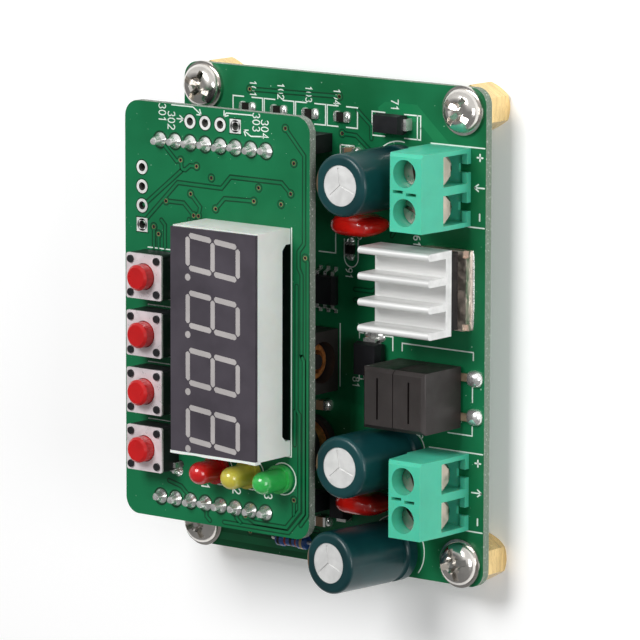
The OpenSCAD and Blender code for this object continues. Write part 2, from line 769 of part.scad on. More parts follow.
module place_input() { translate([input_can[0], input_can[1], top_z]) children(); }
module place_output() { translate([output_can[0], output_can[1], top_z]) children(); }
module place_leaning() {
    translate([leaning_can[0], leaning_can[1], top_z + lift]) rotate([0, -lean, 0]) children();
}

module input_capacitor_can() { color("lightgray") place_input() capacitor_can(); }
module output_capacitor_can() { color("lightgray") place_output() capacitor_can(); }
module leaning_capacitor_can() { color("lightgray") place_leaning() capacitor_can(); }
module input_capacitor_sleeve() { color([0.08, 0.3, 0.32]) place_input() capacitor_sleeve(); }
module output_capacitor_sleeve() { color([0.08, 0.3, 0.32]) place_output() capacitor_sleeve(); }
module leaning_capacitor_sleeve() {
    color([0.08, 0.3, 0.32]) place_leaning() capacitor_sleeve();
}

module capacitor_bungs() {
    color([0.12, 0.12, 0.12]) {
        place_input() capacitor_bung();
        place_output() capacitor_bung();
        place_leaning() capacitor_bung();
    }
}

// Dipped capacitor: a round-edged pillow with a soft foot over each lead
module film_capacitor(at) {
    foot_z = 0.5;
    round_r = film_t / 2;
    color([0.75, 0.08, 0.06])
    translate([at[0], at[1], top_z])
    hull() {
        for (x = [-1, 1]) {
            translate([x * (film_w / 2 - 1.1), 0, foot_z + 1.1])
                scale([1.1, 0.8 * round_r, 1.1]) sphere(r = 1, $fn = 24);
            translate([x * (film_w / 2 - 1.5), 0, film_h - 1.5])
                scale([1.5, 0.85 * round_r, 1.5]) sphere(r = 1, $fn = 24);
            translate([x * film_w * 0.2, 0, film_h / 2])
                scale([1.2, round_r, 1.9]) sphere(r = 1, $fn = 24);
        }
    }
}

module input_film_capacitor() { film_capacitor(input_film); }
module output_film_capacitor() { film_capacitor(output_film); }

// Small axial resistor: swollen ends and a straight middle
module axial_resistor() {
    body_l = resistor_body_l;
    color([0.2, 0.35, 0.75])
    translate([resistor_at[0] - body_l / 2, resistor_at[1], top_z + resistor_z])
    rotate([0, 90, 0]) rotate_extrude() union() {
        square([resistor_r - 0.15, body_l]);
        for (z = [0.75, body_l - 0.75]) {
            translate([0, z - 0.45]) square([resistor_r, 0.9]);
            for (s = [-1, 1]) translate([resistor_r - 0.3, z + s * 0.45])
                circle(r = 0.3, $fn = 24);
        }
    }
}

// A straight lead from below the board up to z above it
module lead_up(at, z) {
    translate([at[0], at[1], foot_h - lead_out])
        cylinder(r = lead_r, h = lead_out + pcb_t + z, $fn = 24);
}

// One lead of the axial resistor: out of its end, round a bend and down through the board
module bent_lead() {
    bend_r = 0.8;
    bend_x = resistor_span / 2 - bend_r;
    translate([resistor_body_l / 2, 0, resistor_z]) rotate([0, 90, 0])
        cylinder(r = thin_lead_r, h = bend_x - resistor_body_l / 2, $fn = 24);
    translate([bend_x, 0, resistor_z - bend_r]) rotate([90, 0, 0])
        rotate_extrude(angle = 90) translate([bend_r, 0]) circle(r = thin_lead_r, $fn = 24);
    translate([resistor_span / 2, 0, -pcb_t - lead_out])
        cylinder(r = thin_lead_r, h = pcb_t + lead_out + resistor_z - bend_r, $fn = 24);
}

module through_hole_leads() {
    color("silver") {
        for (p = concat(leads_y(input_can, can_lead_pitch), leads_y(output_can, can_lead_pitch)))
            lead_up(p, bung_t);
        for (p = leads_y(leaning_can, can_lead_pitch)) lead_up(p, lift + 0.02);
        place_leaning() for (s = [-1, 1]) translate([0, s * can_lead_pitch / 2, -lift / 2])
            cylinder(r = thin_lead_r, h = bung_t + lift / 2, $fn = 24);
        for (f = [input_film, output_film], p = leads_x(f, film_lead_pitch))
            translate([p[0], p[1], foot_h - lead_out])
                cylinder(r = lead_r, h = lead_out + pcb_t + 0.45, $fn = 24);
        for (a = [0, 180]) translate([resistor_at[0], resistor_at[1], top_z]) rotate([0, 0, a])
            bent_lead();
        for (p = led_spots, q = leads_x(p, led_lead_pitch))
            translate([q[0], q[1], deck_z - lead_out])
                cylinder(r = thin_lead_r, h = lead_out + pcb_t, $fn = 24);
        for (y = switch_ys) translate([switch_x, y, deck_top]) switch_legs();
    }
}

// ---------------------------------------------------------------- small parts

// Moulded block with drafted sides, its parting line at mid height
module moulded_block(w, l, h, draft) {
    intersection() {
        translate([0, l / 2, 0]) rotate([90, 0, 0]) linear_extrude(height = l) polygon([
            [-w / 2 + draft, 0], [w / 2 - draft, 0], [w / 2, h / 2], [w / 2 - draft, h],
            [-w / 2 + draft, h], [-w / 2, h / 2]]);
        translate([-w / 2, 0, 0]) rotate([90, 0, 90]) linear_extrude(height = w) polygon([
            [-l / 2 + draft, 0], [l / 2 - draft, 0], [l / 2, h / 2], [l / 2 - draft, h],
            [-l / 2 + draft, h], [-l / 2, h / 2]]);
    }
}

power_diode_h = 2.2;
small_diode_w = 2.6;
small_diode_l = 4.3;
small_diode_h = 2.1;
tab_thick = 0.25;

module power_diode() {
    color([0.09, 0.09, 0.1])
    translate([power_diode_at[0], power_diode_at[1], top_z + tab_thick])
        moulded_block(power_diode_w, power_diode_l, power_diode_h, 0.25);
}

module small_packages() {
    color([0.09, 0.09, 0.1]) {
        for (d = small_diodes) translate([d[0], d[1], top_z + tab_thick]) rotate([0, 0, d[2]])
            moulded_block(small_diode_l, small_diode_w, small_diode_h, 0.2);
    }
}

// J-shaped end tab of a diode of length l, width w and body height h, along X
module diode_tab(l, w, h) {
    translate([l / 2, w / 2, 0]) rotate([90, 0, 0]) linear_extrude(height = w) polygon([
        [-0.9, 0], [0.45, 0], [0.45, h / 2 + tab_thick], [0.02, h / 2 + tab_thick],
        [0.02, h / 2], [0.2, h / 2], [0.2, tab_thick], [-0.9, tab_thick]]);
}

// Gull-wing lead that leaves a package at height z, pointing to +Y
module gull_lead(w, z, reach) {
    translate([-w / 2, 0, 0]) rotate([90, 0, 90]) linear_extrude(height = w) polygon([
        [0, z], [reach * 0.35, z], [reach * 0.55, 0], [reach, 0], [reach, 0.2],
        [reach * 0.65, 0.2], [reach * 0.45, z + 0.2], [0, z + 0.2]]);
}

module surface_mount_leads() {
    color("silver") {
        for (a = [0, 180]) translate([power_diode_at[0], power_diode_at[1], top_z])
            rotate([0, 0, 90 + a]) diode_tab(power_diode_l, power_diode_w / 2, power_diode_h);
        for (d = small_diodes, a = [0, 180]) translate([d[0], d[1], top_z])
            rotate([0, 0, d[2] + a]) diode_tab(small_diode_l, 1.5, small_diode_h);
        for (i = [0 : 3], a = [0, 180]) translate([chip_at[0], chip_at[1], top_z])
            rotate([0, 0, a]) translate([(i - 1.5) * 1.27, chip_w / 2, 0])
                gull_lead(0.42, 0.75, 1.1);
    }
}

chip_l = 4.9;
chip_w = 3.9;

module control_chip() {
    color([0.08, 0.08, 0.09])
    difference() {
        translate([chip_at[0], chip_at[1], top_z + 0.15]) moulded_block(chip_l, chip_w, 1.5, 0.15);
        translate([chip_at[0] - chip_l / 2 + 0.8, chip_at[1] - chip_w / 2 + 0.8, top_z + 1.55])
            cylinder(r = 0.3, h = 1, $fn = 24);
    }
}

cap_l = chip_part_l * 0.2;
chip_part_h = chip_part_w * 0.44;
ceramic_h = chip_part_w * 0.88;

module chip_resistors() {
    color([0.15, 0.13, 0.13])
    for (p = chip_resistor_spots) translate([p[0], p[1], top_z + chip_part_h / 2])
        rotate([0, 0, p[2]])
            cube([chip_part_l - 2 * cap_l, chip_part_w, chip_part_h], center = true);
}

module chip_capacitors() {
    color([0.55, 0.4, 0.28])
    for (p = chip_capacitor_spots) translate([p[0], p[1], top_z + ceramic_h / 2])
        rotate([0, 0, p[2]])
            cube([chip_part_l - 2 * cap_l, chip_part_w, ceramic_h], center = true);
}

module chip_end_caps() {
    color("silver") {
        for (p = chip_resistor_spots, s = [-1, 1]) translate([p[0], p[1], top_z])
            rotate([0, 0, p[2]]) translate([s * (chip_part_l - cap_l) / 2, 0, chip_part_h / 2])
                cube([cap_l, chip_part_w, chip_part_h], center = true);
        for (p = chip_capacitor_spots, s = [-1, 1]) translate([p[0], p[1], top_z])
            rotate([0, 0, p[2]]) translate([s * (chip_part_l - cap_l) / 2, 0, ceramic_h / 2])
                cube([cap_l, chip_part_w, ceramic_h], center = true);
    }
}

// ---------------------------------------------------------------- headers

header_l = pin_count * pin_pitch;
header_w = 2.4;
pin_gap = 0.06;

module header_sockets() {
    color([0.07, 0.07, 0.07])
    for (y = row_ys) difference() {
        translate([row_x - header_l / 2, y - header_w / 2, top_z])
            cube([header_l, header_w, socket_h]);
        for (x = pin_xs) translate([x - pin_half - pin_gap, y - pin_half - pin_gap, top_z - 1])
            cube([2 * (pin_half + pin_gap), 2 * (pin_half + pin_gap), socket_h + 2]);
    }
}

module pin_strips() {
    color([0.09, 0.09, 0.09])
    for (y = row_ys) difference() {
        translate([row_x - header_l / 2, y - header_w / 2, deck_z - strip_h])
            cube([header_l, header_w, strip_h]);
        for (x = pin_xs) translate([x - pin_half, y - pin_half, deck_z - strip_h - 1])
            cube([2 * pin_half, 2 * pin_half, strip_h + 2]);
    }
}

// Square pins from below the power board to above the control board, each with its cone
// of solder on the control board
module header_pins() {
    pin_top = 1.2;
    color("silver")
    for (x = pin_xs, y = row_ys) {
        translate([x - pin_half, y - pin_half, foot_h - lead_out])
            cube([2 * pin_half, 2 * pin_half, deck_top + pin_top - foot_h + lead_out]);
        translate([x, y, deck_top]) rotate_extrude($fn = 32) polygon([
            [0, 0], [0.85, 0], [0.8, 0.12], [0.55, 0.45], [0.42, 0.95], [0, 0.95]]);
    }
}

// ---------------------------------------------------------------- display

face_t = 0.5;
face_inset = 0.15;                             // face inside the shell at both ends
shell_wall = 1;
shell_foot = 2;
shell_open_h = 1.9;                            // height of the hollow below the filled shell
fill_inset = 0.12;                             // resin inside the shell's outer faces
digit_pitch = (display_l + 0.3) / 4;
digit_w = digit_pitch - 2.5;
point_r = 0.47;
shell_gap_h = 1.65;
fill_t = 0.6;
display_top = deck_top + display_h;

// One segment: a bar with blunt tapered ends along X, centred
module segment_bar(l, t) {
    taper = t / 2 - 0.12;
    polygon([
        [-l / 2, 0.12], [-l / 2 + taper, t / 2], [l / 2 - taper, t / 2], [l / 2, 0.12],
        [l / 2, -0.12], [l / 2 - taper, -t / 2], [-l / 2 + taper, -t / 2], [-l / 2, -0.12]]);
}

// The seven segments and point of a figure eight, upright and centred
module digit_shape() {
    gap = 0.42;
    half_h = (digit_h - segment_t) / 2;
    across = digit_w - segment_t;
    shear = tan(digit_slant);
    multmatrix([[1, shear, 0, 0], [0, 1, 0, 0], [0, 0, 1, 0], [0, 0, 0, 1]]) {
        for (i = [-1, 0, 1]) translate([0, i * half_h]) segment_bar(across - gap, segment_t);
        for (i = [-1, 1], j = [-1, 1]) translate([i * across / 2, j * half_h / 2])
            rotate([0, 0, 90]) segment_bar(half_h - gap, segment_t);
    }
    translate([digit_w / 2 + 0.45, -half_h]) circle(r = point_r, $fn = 24);
}

// All four digits, read from the +X side, at z = 0 of the display's middle
module digits(h) {
    for (i = [0 : 3]) translate([0, (1.5 - i) * digit_pitch, 0]) rotate([0, 0, -90])
        linear_extrude(height = h) digit_shape();
}

// White moulding, filled down to a shallow hollow, standing on a foot at each end
module display_shell() {
    gap_l = display_l - 2 * shell_foot;
    color("white")
    translate([display_at[0], display_at[1], deck_top])
    difference() {
        translate([-display_w / 2, -display_l / 2, 0])
            cube([display_w, display_l, display_h - face_t]);
        translate([-display_w / 2 + shell_wall, -display_l / 2 + shell_wall, -1])
            cube([display_w - 2 * shell_wall, display_l - 2 * shell_wall,
                  1 + shell_open_h]);
        translate([-display_w, 0, 0]) rotate([90, 0, 90]) linear_extrude(height = 2 * display_w)
            polygon([
                [-gap_l / 2, -1], [gap_l / 2, -1], [gap_l / 2, shell_gap_h - 0.7],
                [gap_l / 2 - 0.7, shell_gap_h], [-gap_l / 2 + 0.7, shell_gap_h],
                [-gap_l / 2, shell_gap_h - 0.7]]);
        translate([-display_w / 2 + fill_inset, -display_l / 2 + shell_wall,
                   display_h - face_t - fill_t])
            cube([display_w - 2 * fill_inset, display_l - 2 * shell_wall, fill_t + 1]);
    }
}

module display_face() {
    color([0.29, 0.27, 0.3])
    translate([display_at[0], display_at[1], display_top - face_t])
    difference() {
        translate([-display_w / 2, -display_l / 2 + face_inset, 0])
            cube([display_w, display_l - 2 * face_inset, face_t]);
        translate([0, 0, -1]) digits(face_t + 2);
    }
}

// Clear resin: a slab behind the face that fills every segment
module display_segments() {
    color([0.7, 0.68, 0.67])
    translate([display_at[0], display_at[1], display_top - face_t]) {
        translate([-display_w / 2 + fill_inset, -display_l / 2 + shell_wall, -fill_t])
            cube([display_w - 2 * fill_inset, display_l - 2 * shell_wall, fill_t]);
        translate([0, 0, -eps]) digits(face_t - 0.04 + eps);
    }
}

// Two rows of pins, carried by the filled shell
module display_pins() {
    color("silver")
    for (x = display_pin_rows, y = display_pin_ys)
        translate([display_at[0] + x, y, deck_z - lead_out])
            cylinder(r = thin_lead_r, h = lead_out + pcb_t + shell_open_h, $fn = 24);
}

// ---------------------------------------------------------------- lamps

module led(at, tint) {
    flange_r = led_r + 0.4;
    color(tint)
    translate([at[0], at[1], deck_top])
    difference() {
        rotate_extrude() union() {
            square([flange_r, 1]);
            square([led_r, led_h - led_r]);
            translate([0, led_h - led_r]) intersection() {
                circle(r = led_r);
                square([led_r, led_r]);
            }
        }
        translate([-flange_r - 1, -flange_r, -1]) cube([1.25, 2 * flange_r, 2]);
    }
}

module red_led() { led(led_spots[0], [0.85, 0.1, 0.1]); }
module yellow_led() { led(led_spots[1], [0.85, 0.75, 0.2]); }
module green_led() { led(led_spots[2], [0.15, 0.75, 0.3]); }

// ---------------------------------------------------------------- push switches

cover_t = 0.3;
rivet_r = 0.5;
rivet_inset = 0.8;
button_low = 1.5;                              // underside of a button above the board
collar_r = button_r + 0.5;
collar_top = switch_h - cover_t - 0.15;
bore_gap = 0.08;
button_drop = 0.35;                            // from a pressed button down to the recess floor
dome_gap = 0.08;
dome_t = 0.08;

module switch_base() {
    difference() {
        union() {
            rounded_plate(switch_w, switch_w, switch_h - cover_t, 0.4);
            for (i = [-1, 1], j = [-1, 1])
                translate([i * (switch_w / 2 - rivet_inset), j * (switch_w / 2 - rivet_inset), 0])
                    cylinder(r = rivet_r, h = switch_h + 0.25, $fn = 24);
        }
        translate([0, 0, button_low - button_travel - button_drop])
            cylinder(r = collar_r + bore_gap, h = switch_h);
    }
}

// Four legs, each bent over to meet the side of the switch's body
module switch_legs() {
    leg_t = 0.3;
    leg_w = 0.7;
    reach = leg_x + leg_t / 2 - switch_w / 2;
    for (i = [-1, 1], j = [-1, 1]) {
        translate([i * leg_x - leg_t / 2, j * leg_y - leg_w / 2, -pcb_t - lead_out])
            cube([leg_t, leg_w, pcb_t + lead_out + 1.2]);
        translate([i * (switch_w / 2 + reach / 2), j * leg_y, 1.2 - leg_t / 2])
            cube([reach, leg_w, leg_t], center = true);
    }
}

module switch_bases() {
    color([0.1, 0.1, 0.1])
    for (y = switch_ys) translate([switch_x, y, deck_top]) switch_base();
}

module switch_covers() {
    color("silver")
    for (y = switch_ys) translate([switch_x, y, deck_top + switch_h - cover_t]) difference() {
        rounded_plate(switch_w, switch_w, cover_t, 0.3);
        translate([0, 0, -1]) cylinder(r = button_r + bore_gap, h = 2);
        for (i = [-1, 1], j = [-1, 1])
            translate([i * (switch_w / 2 - rivet_inset), j * (switch_w / 2 - rivet_inset), -1])
                cylinder(r = rivet_r, h = 2, $fn = 24);
    }
}

// Springy metal domes below the buttons, each a thin cap of a sphere
module snap_domes() {
    rise = button_drop - dome_gap;
    foot_r = collar_r - 0.1;
    ball_r = (foot_r * foot_r + rise * rise) / (2 * rise);
    color("silver")
    for (y = switch_ys) translate([switch_x, y, deck_top + button_low - button_travel - button_drop])
        rotate_extrude() intersection() {
            difference() {
                translate([0, rise - ball_r]) circle(r = ball_r, $fn = 180);
                translate([0, rise - ball_r - dome_t]) circle(r = ball_r, $fn = 180);
            }
            square([foot_r, rise]);
        }
}

module button(y) {
    color([0.82, 0.12, 0.12])
    translate([switch_x, y, deck_top]) rotate_extrude() polygon([
        [0, button_low], [collar_r, button_low], [collar_r, collar_top], [button_r, collar_top],
        [button_r, switch_h + button_out - 0.3], [button_r - 0.3, switch_h + button_out],
        [0, switch_h + button_out]]);
}

module button_1() { button(switch_ys[0]); }
module button_2() { button(switch_ys[1]); }
module button_3() { button(switch_ys[2]); }
module button_4() { button(switch_ys[3]); }

// ---------------------------------------------------------------- assembly

main_board();
control_board();
standoffs();
corner_screws();
input_terminal_body();
output_terminal_body();
terminal_contacts();
input_plus_screw();
input_minus_screw();
output_plus_screw();
output_minus_screw();
input_plus_cage();
input_minus_cage();
output_plus_cage();
output_minus_cage();
heatsink();
regulator_body();
regulator_tab();
ferrite_core_left();
ferrite_core_right();
ferrite_coil();
choke_core();
choke_winding();
drum_core();
drum_winding();
input_capacitor_can();
input_capacitor_sleeve();
output_capacitor_can();
output_capacitor_sleeve();
leaning_capacitor_can();
leaning_capacitor_sleeve();
capacitor_bungs();
input_film_capacitor();
output_film_capacitor();
axial_resistor();
through_hole_leads();
power_diode();
small_packages();
surface_mount_leads();
control_chip();
chip_resistors();
chip_capacitors();
chip_end_caps();
header_sockets();
pin_strips();
header_pins();
display_shell();
display_face();
display_segments();
display_pins();
red_led();
yellow_led();
green_led();
switch_bases();
switch_covers();
snap_domes();
button_1();
button_2();
button_3();
button_4();
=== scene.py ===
"""Looks of the step-down converter module: finishes, board artwork, solder and small trim.

Lengths are millimetres in the part's frame, until mm() or finished() turns them into metres.
The boards' faces and the places that follow a part come from the frame's boxes. The points
of tracks and printed lines are given as lists.
"""
import json
import math
import random

import bmesh
import bpy
from mathutils import Matrix, Vector


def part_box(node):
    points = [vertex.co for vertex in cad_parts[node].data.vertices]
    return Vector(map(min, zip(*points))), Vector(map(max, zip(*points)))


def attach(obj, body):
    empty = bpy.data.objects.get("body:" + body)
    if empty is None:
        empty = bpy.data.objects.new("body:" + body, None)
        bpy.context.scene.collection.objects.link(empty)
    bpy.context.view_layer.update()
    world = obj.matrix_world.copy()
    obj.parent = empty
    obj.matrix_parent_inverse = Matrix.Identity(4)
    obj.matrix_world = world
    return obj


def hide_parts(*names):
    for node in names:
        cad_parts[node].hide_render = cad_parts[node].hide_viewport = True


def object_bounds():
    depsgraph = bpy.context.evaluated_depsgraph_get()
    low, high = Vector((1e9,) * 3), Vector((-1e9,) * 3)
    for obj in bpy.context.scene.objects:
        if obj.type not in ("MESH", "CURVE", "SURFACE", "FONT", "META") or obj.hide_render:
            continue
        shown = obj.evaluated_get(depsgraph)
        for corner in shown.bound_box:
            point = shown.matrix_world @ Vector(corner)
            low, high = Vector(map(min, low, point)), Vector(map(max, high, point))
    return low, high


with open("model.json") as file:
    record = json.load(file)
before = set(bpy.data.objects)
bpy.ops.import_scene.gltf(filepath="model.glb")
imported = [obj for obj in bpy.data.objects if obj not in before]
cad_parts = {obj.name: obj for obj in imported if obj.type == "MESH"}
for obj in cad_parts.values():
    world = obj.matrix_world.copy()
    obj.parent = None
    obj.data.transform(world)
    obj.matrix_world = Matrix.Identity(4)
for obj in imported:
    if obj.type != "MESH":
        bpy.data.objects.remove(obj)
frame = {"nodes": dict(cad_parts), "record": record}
cad_low, cad_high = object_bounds()
MM = 0.001
BODY = "board"                                  # the body that carries both boards
CANS = ("input", "output", "leaning")
PIN_PITCH = 2.54


def mm(*values):
    """Millimetres to metres, as a vector."""
    return Vector(values) * MM


def node_box(name):
    """Lowest and highest corner of a CAD node in millimetres."""
    low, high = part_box(name)
    return low / MM, high / MM


def node_middle(name):
    """Middle of a CAD node's box in millimetres."""
    low, high = node_box(name)
    return (low + high) / 2


MAIN_UNDER, MAIN_TOP = (corner.z for corner in node_box("main_board"))
DECK_UNDER, DECK_TOP = (corner.z for corner in node_box("control_board"))


# ------------------------------------------------------------------ camera and light

def make_camera():
    """Long lens above the wire-entry side, looking down on the boards."""
    place = mm(425.3, 114.6, 545.9)
    tilt, swing, roll = 0.67084, -0.1626, 0.00214               # radians
    data = bpy.data.cameras.new("camera")
    data.sensor_width = 36
    data.lens = 299.1
    data.shift_x = 0.0101
    data.shift_y = -0.0208
    data.clip_end = 10
    camera = bpy.data.objects.new("camera", data)
    turn = (Matrix.Rotation(tilt, 3, "Y") @ Matrix.Rotation(swing, 3, "X")
            @ Matrix.Rotation(roll, 3, "Z"))
    camera.matrix_world = Matrix.Translation(place) @ turn.to_4x4()
    bpy.context.scene.collection.objects.link(camera)
    bpy.context.scene.camera = camera


def area_light(name, place, size, power, target=(0, 0, 10)):
    """Rectangular lamp of some watts, aimed at a target."""
    data = bpy.data.lights.new(name, "AREA")
    data.shape = "RECTANGLE"
    data.size, data.size_y = size[0] * MM, size[1] * MM
    data.energy = power
    lamp = bpy.data.objects.new(name, data)
    lamp.location = mm(*place)
    lamp.rotation_euler = (mm(*target) - lamp.location).to_track_quat("-Z", "Y").to_euler()
    bpy.context.scene.collection.objects.link(lamp)


def make_lights():
    area_light("key", (-30, 270, 430), (240, 220), 2.1)
    area_light("side", (440, 20, 230), (200, 200), 0.8)


def background(tree, grey, strength=1.0):
    """World light of one grey."""
    made = tree.nodes.new("ShaderNodeBackground")
    made.inputs["Color"].default_value = (grey, grey, grey, 1)
    made.inputs["Strength"].default_value = strength
    return made


def make_world():
    """White studio for the camera and clear parts, dimmer as light on the object.

    Polished metal mirrors a room that is pale towards +Y and greyer towards -Y.
    """
    room_from, room_to = (-0.1, 0.3), (0.3, 1.0)
    world = bpy.data.worlds.new("studio")
    bpy.context.scene.world = world
    world.use_nodes = True
    tree = world.node_tree
    tree.nodes.clear()
    output = tree.nodes.new("ShaderNodeOutputWorld")
    path = tree.nodes.new("ShaderNodeLightPath")
    ambient, white, mirrored = background(tree, 1, 0.24), background(tree, 1), background(tree, 0.8)
    split = tree.nodes.new("ShaderNodeSeparateXYZ")
    tree.links.new(tree.nodes.new("ShaderNodeTexCoord").outputs["Generated"], split.inputs[0])
    room = tree.nodes.new("ShaderNodeMapRange")
    for index, value in enumerate(room_from + room_to, 1):
        room.inputs[index].default_value = value
    tree.links.new(split.outputs["Y"], room.inputs[0])
    tree.links.new(room.outputs[0], mirrored.inputs["Strength"])
    surface = ambient.outputs[0]
    for ray, shader in (("Is Glossy Ray", mirrored), ("Is Transmission Ray", white),
                        ("Is Camera Ray", white)):
        mix = tree.nodes.new("ShaderNodeMixShader")
        tree.links.new(path.outputs[ray], mix.inputs[0])
        tree.links.new(surface, mix.inputs[1])
        tree.links.new(shader.outputs[0], mix.inputs[2])
        surface = mix.outputs[0]
    tree.links.new(surface, output.inputs["Surface"])


# ------------------------------------------------------------------ materials

class Finish:
    """A node material that is built up step by step from object coordinates."""

    def __init__(self, name, color, roughness=0.5, metallic=0.0, **sockets):
        self.material = bpy.data.materials.new(name)
        self.material.use_nodes = True
        self.tree = self.material.node_tree
        self.shader = self.tree.nodes["Principled BSDF"]
        self.shader.inputs["Base Color"].default_value = (*color, 1)
        self.shader.inputs["Roughness"].default_value = roughness
        self.shader.inputs["Metallic"].default_value = metallic
        for socket, value in sockets.items():
            self.shader.inputs[socket.replace("_", " ")].default_value = value
        self.color = color
        self.bumps = []

    def add(self, kind, **inputs):
        """A shader node of a kind, with its inputs set."""
        made = self.tree.nodes.new("ShaderNode" + kind)
        for socket, value in inputs.items():
            made.inputs[socket.replace("_", " ")].default_value = value
        return made

    def link(self, source, target):
        self.tree.links.new(source, target)

    def place(self):
        """Object coordinates, in metres."""
        return self.add("TexCoord").outputs["Object"]

    def noise(self, scale, detail=3.0, rough=0.55, stretch=None):
        source = self.place()
        if stretch:
            mapping = self.add("Mapping", Scale=stretch)
            self.link(source, mapping.inputs["Vector"])
            source = mapping.outputs["Vector"]
        made = self.add("TexNoise", Scale=scale, Detail=detail, Roughness=rough)
        self.link(source, made.inputs["Vector"])
        return made.outputs["Fac"]

    def ramp(self, source, stops, smooth=True):
        """Colour ramp through (position, colour) stops."""
        made = self.add("ValToRGB")
        made.color_ramp.interpolation = "EASE" if smooth else "CONSTANT"
        elements = made.color_ramp.elements
        while len(elements) < len(stops):
            elements.new(0.5)
        for element, (at, color) in zip(elements, stops):
            element.position = at
            element.color = (*color, 1)
        self.link(source, made.inputs["Fac"])
        return made.outputs["Color"]

    def mix(self, factor, first, second):
        """Blend of two colours, each a value or another node's output."""
        made = self.tree.nodes.new("ShaderNodeMix")
        made.data_type = "RGBA"
        self.link(factor, made.inputs[0])
        for index, value in ((6, first), (7, second)):
            if isinstance(value, tuple):
                made.inputs[index].default_value = (*value, 1)
            else:
                self.link(value, made.inputs[index])
        return made.outputs[2]

    def math(self, operation, first, second=None):
        made = self.tree.nodes.new("ShaderNodeMath")
        made.operation = operation
        for index, value in enumerate((first, second)):
            if value is None:
                continue
            if isinstance(value, (int, float)):
                made.inputs[index].default_value = value
            else:
                self.link(value, made.inputs[index])
        return made.outputs[0]

    def paint(self, color):
        self.link(color, self.shader.inputs["Base Color"])
        return self

    def mottle(self, scale, strength, detail=4.0, stretch=None):
        """Varies the colour lightly between a darker and a lighter shade of itself."""
        dark = tuple(c * (1 - strength) for c in self.color)
        light = tuple(min(1, c * (1 + strength)) for c in self.color)
        shade = self.ramp(self.noise(scale, detail, stretch=stretch), [(0.3, dark), (0.7, light)])
        return self.paint(shade)

    def rough(self, scale, low, high, detail=3.0, stretch=None):
        """Varies the roughness between two values."""
        shade = self.ramp(self.noise(scale, detail, stretch=stretch),
                          [(0.35, (low,) * 3), (0.65, (high,) * 3)])
        self.link(shade, self.shader.inputs["Roughness"])
        return self

    def bump(self, height, strength=0.3, distance=0.02):
        """Adds a bump whose depth is given in millimetres."""
        made = self.add("Bump", Strength=strength, Distance=distance * MM)
        self.link(height, made.inputs["Height"])
        if self.bumps:
            self.link(self.bumps[-1], made.inputs["Normal"])
        self.bumps.append(made.outputs["Normal"])
        self.link(made.outputs["Normal"], self.shader.inputs["Normal"])
        return self

    def grain(self, scale, strength=0.3, distance=0.02, detail=3.0, stretch=None):
        return self.bump(self.noise(scale, detail, stretch=stretch), strength, distance)


def metal(name, color, roughness=0.25, grain=900, stretch=None, depth=0.01, metallic=1.0):
    finish = Finish(name, color, roughness, metallic)
    finish.mottle(260, 0.12, stretch=stretch)
    finish.rough(grain, roughness * 0.7, roughness * 1.5, stretch=stretch)
    return finish.grain(grain, 0.35, depth, stretch=stretch).material


def plastic(name, color, roughness=0.45, vary=0.1, grain=1500, depth=0.008, **sockets):
    sockets.setdefault("Specular_IOR_Level", 0.3)
    finish = Finish(name, color, roughness, **sockets)
    finish.mottle(180, vary)
    finish.rough(300, roughness * 0.85, roughness * 1.2)
    return finish.grain(grain, 0.35, depth).material


def inside_box(finish, low, high):
    """1 where a point lies inside a box's outline in X and Y, given in millimetres."""
    split = finish.add("SeparateXYZ")
    finish.link(finish.place(), split.inputs[0])
    inside = 1.0
    for axis, a, b in (("X", low.x, high.x), ("Y", low.y, high.y)):
        off = finish.math("SUBTRACT", split.outputs[axis], (a + b) / 2 * MM)
        near = finish.math("LESS_THAN", finish.math("ABSOLUTE", off), (b - a) / 2 * MM)
        inside = finish.math("MULTIPLY", near, inside)
    return inside


def board_finish(name, deep, light, edge_dark, edge_light, painted_shade_box=None):
    """Lacquered board: green faces with faint clouding and specks, fibrous pale edges.

    The face is painted dark under a part that stands over it, as painted shade; the part's lowest
    and highest corner are given.
    """
    face_rough, edge_rough = (0.42,) * 3, (0.75,) * 3
    finish = Finish(name, deep, 0.42, Specular_IOR_Level=0.22, Coat_Weight=0.03, Coat_Roughness=0.2)
    normal = finish.add("SeparateXYZ")
    finish.link(finish.add("TexCoord").outputs["Normal"], normal.inputs[0])
    is_face = finish.math("GREATER_THAN", finish.math("ABSOLUTE", normal.outputs["Z"]), 0.5)
    cloud = finish.ramp(finish.noise(70, 3), [(0.35, deep), (0.65, light)])
    specks = finish.ramp(finish.noise(2600, 1), [(0.775, (0, 0, 0)), (0.79, (1, 1, 1))])
    face = finish.mix(specks, cloud, (0.35, 0.6, 0.45))
    fibre = finish.ramp(finish.noise(2200, 5, 0.8, stretch=(1, 1, 2.2)),
                        [(0.4, edge_dark), (0.6, edge_light)], smooth=False)
    # painted shade: near-black colour on the face inside the outline of the part that stands over
    # it
    if painted_shade_box:
        face = finish.mix(inside_box(finish, *painted_shade_box), face, (0.001, 0.006, 0.004))
    finish.paint(finish.mix(is_face, fibre, face))
    rough = finish.mix(is_face, edge_rough, face_rough)
    finish.link(rough, finish.shader.inputs["Roughness"])
    finish.grain(130, 0.25, 0.02)
    return finish.grain(2000, 0.25, 0.006).material


def solder_finish():
    finish = Finish("solder", (0.86, 0.86, 0.84), 0.22, 0.85)
    finish.mottle(900, 0.16)
    finish.rough(1200, 0.14, 0.34)
    return finish.grain(1400, 0.6, 0.05).material


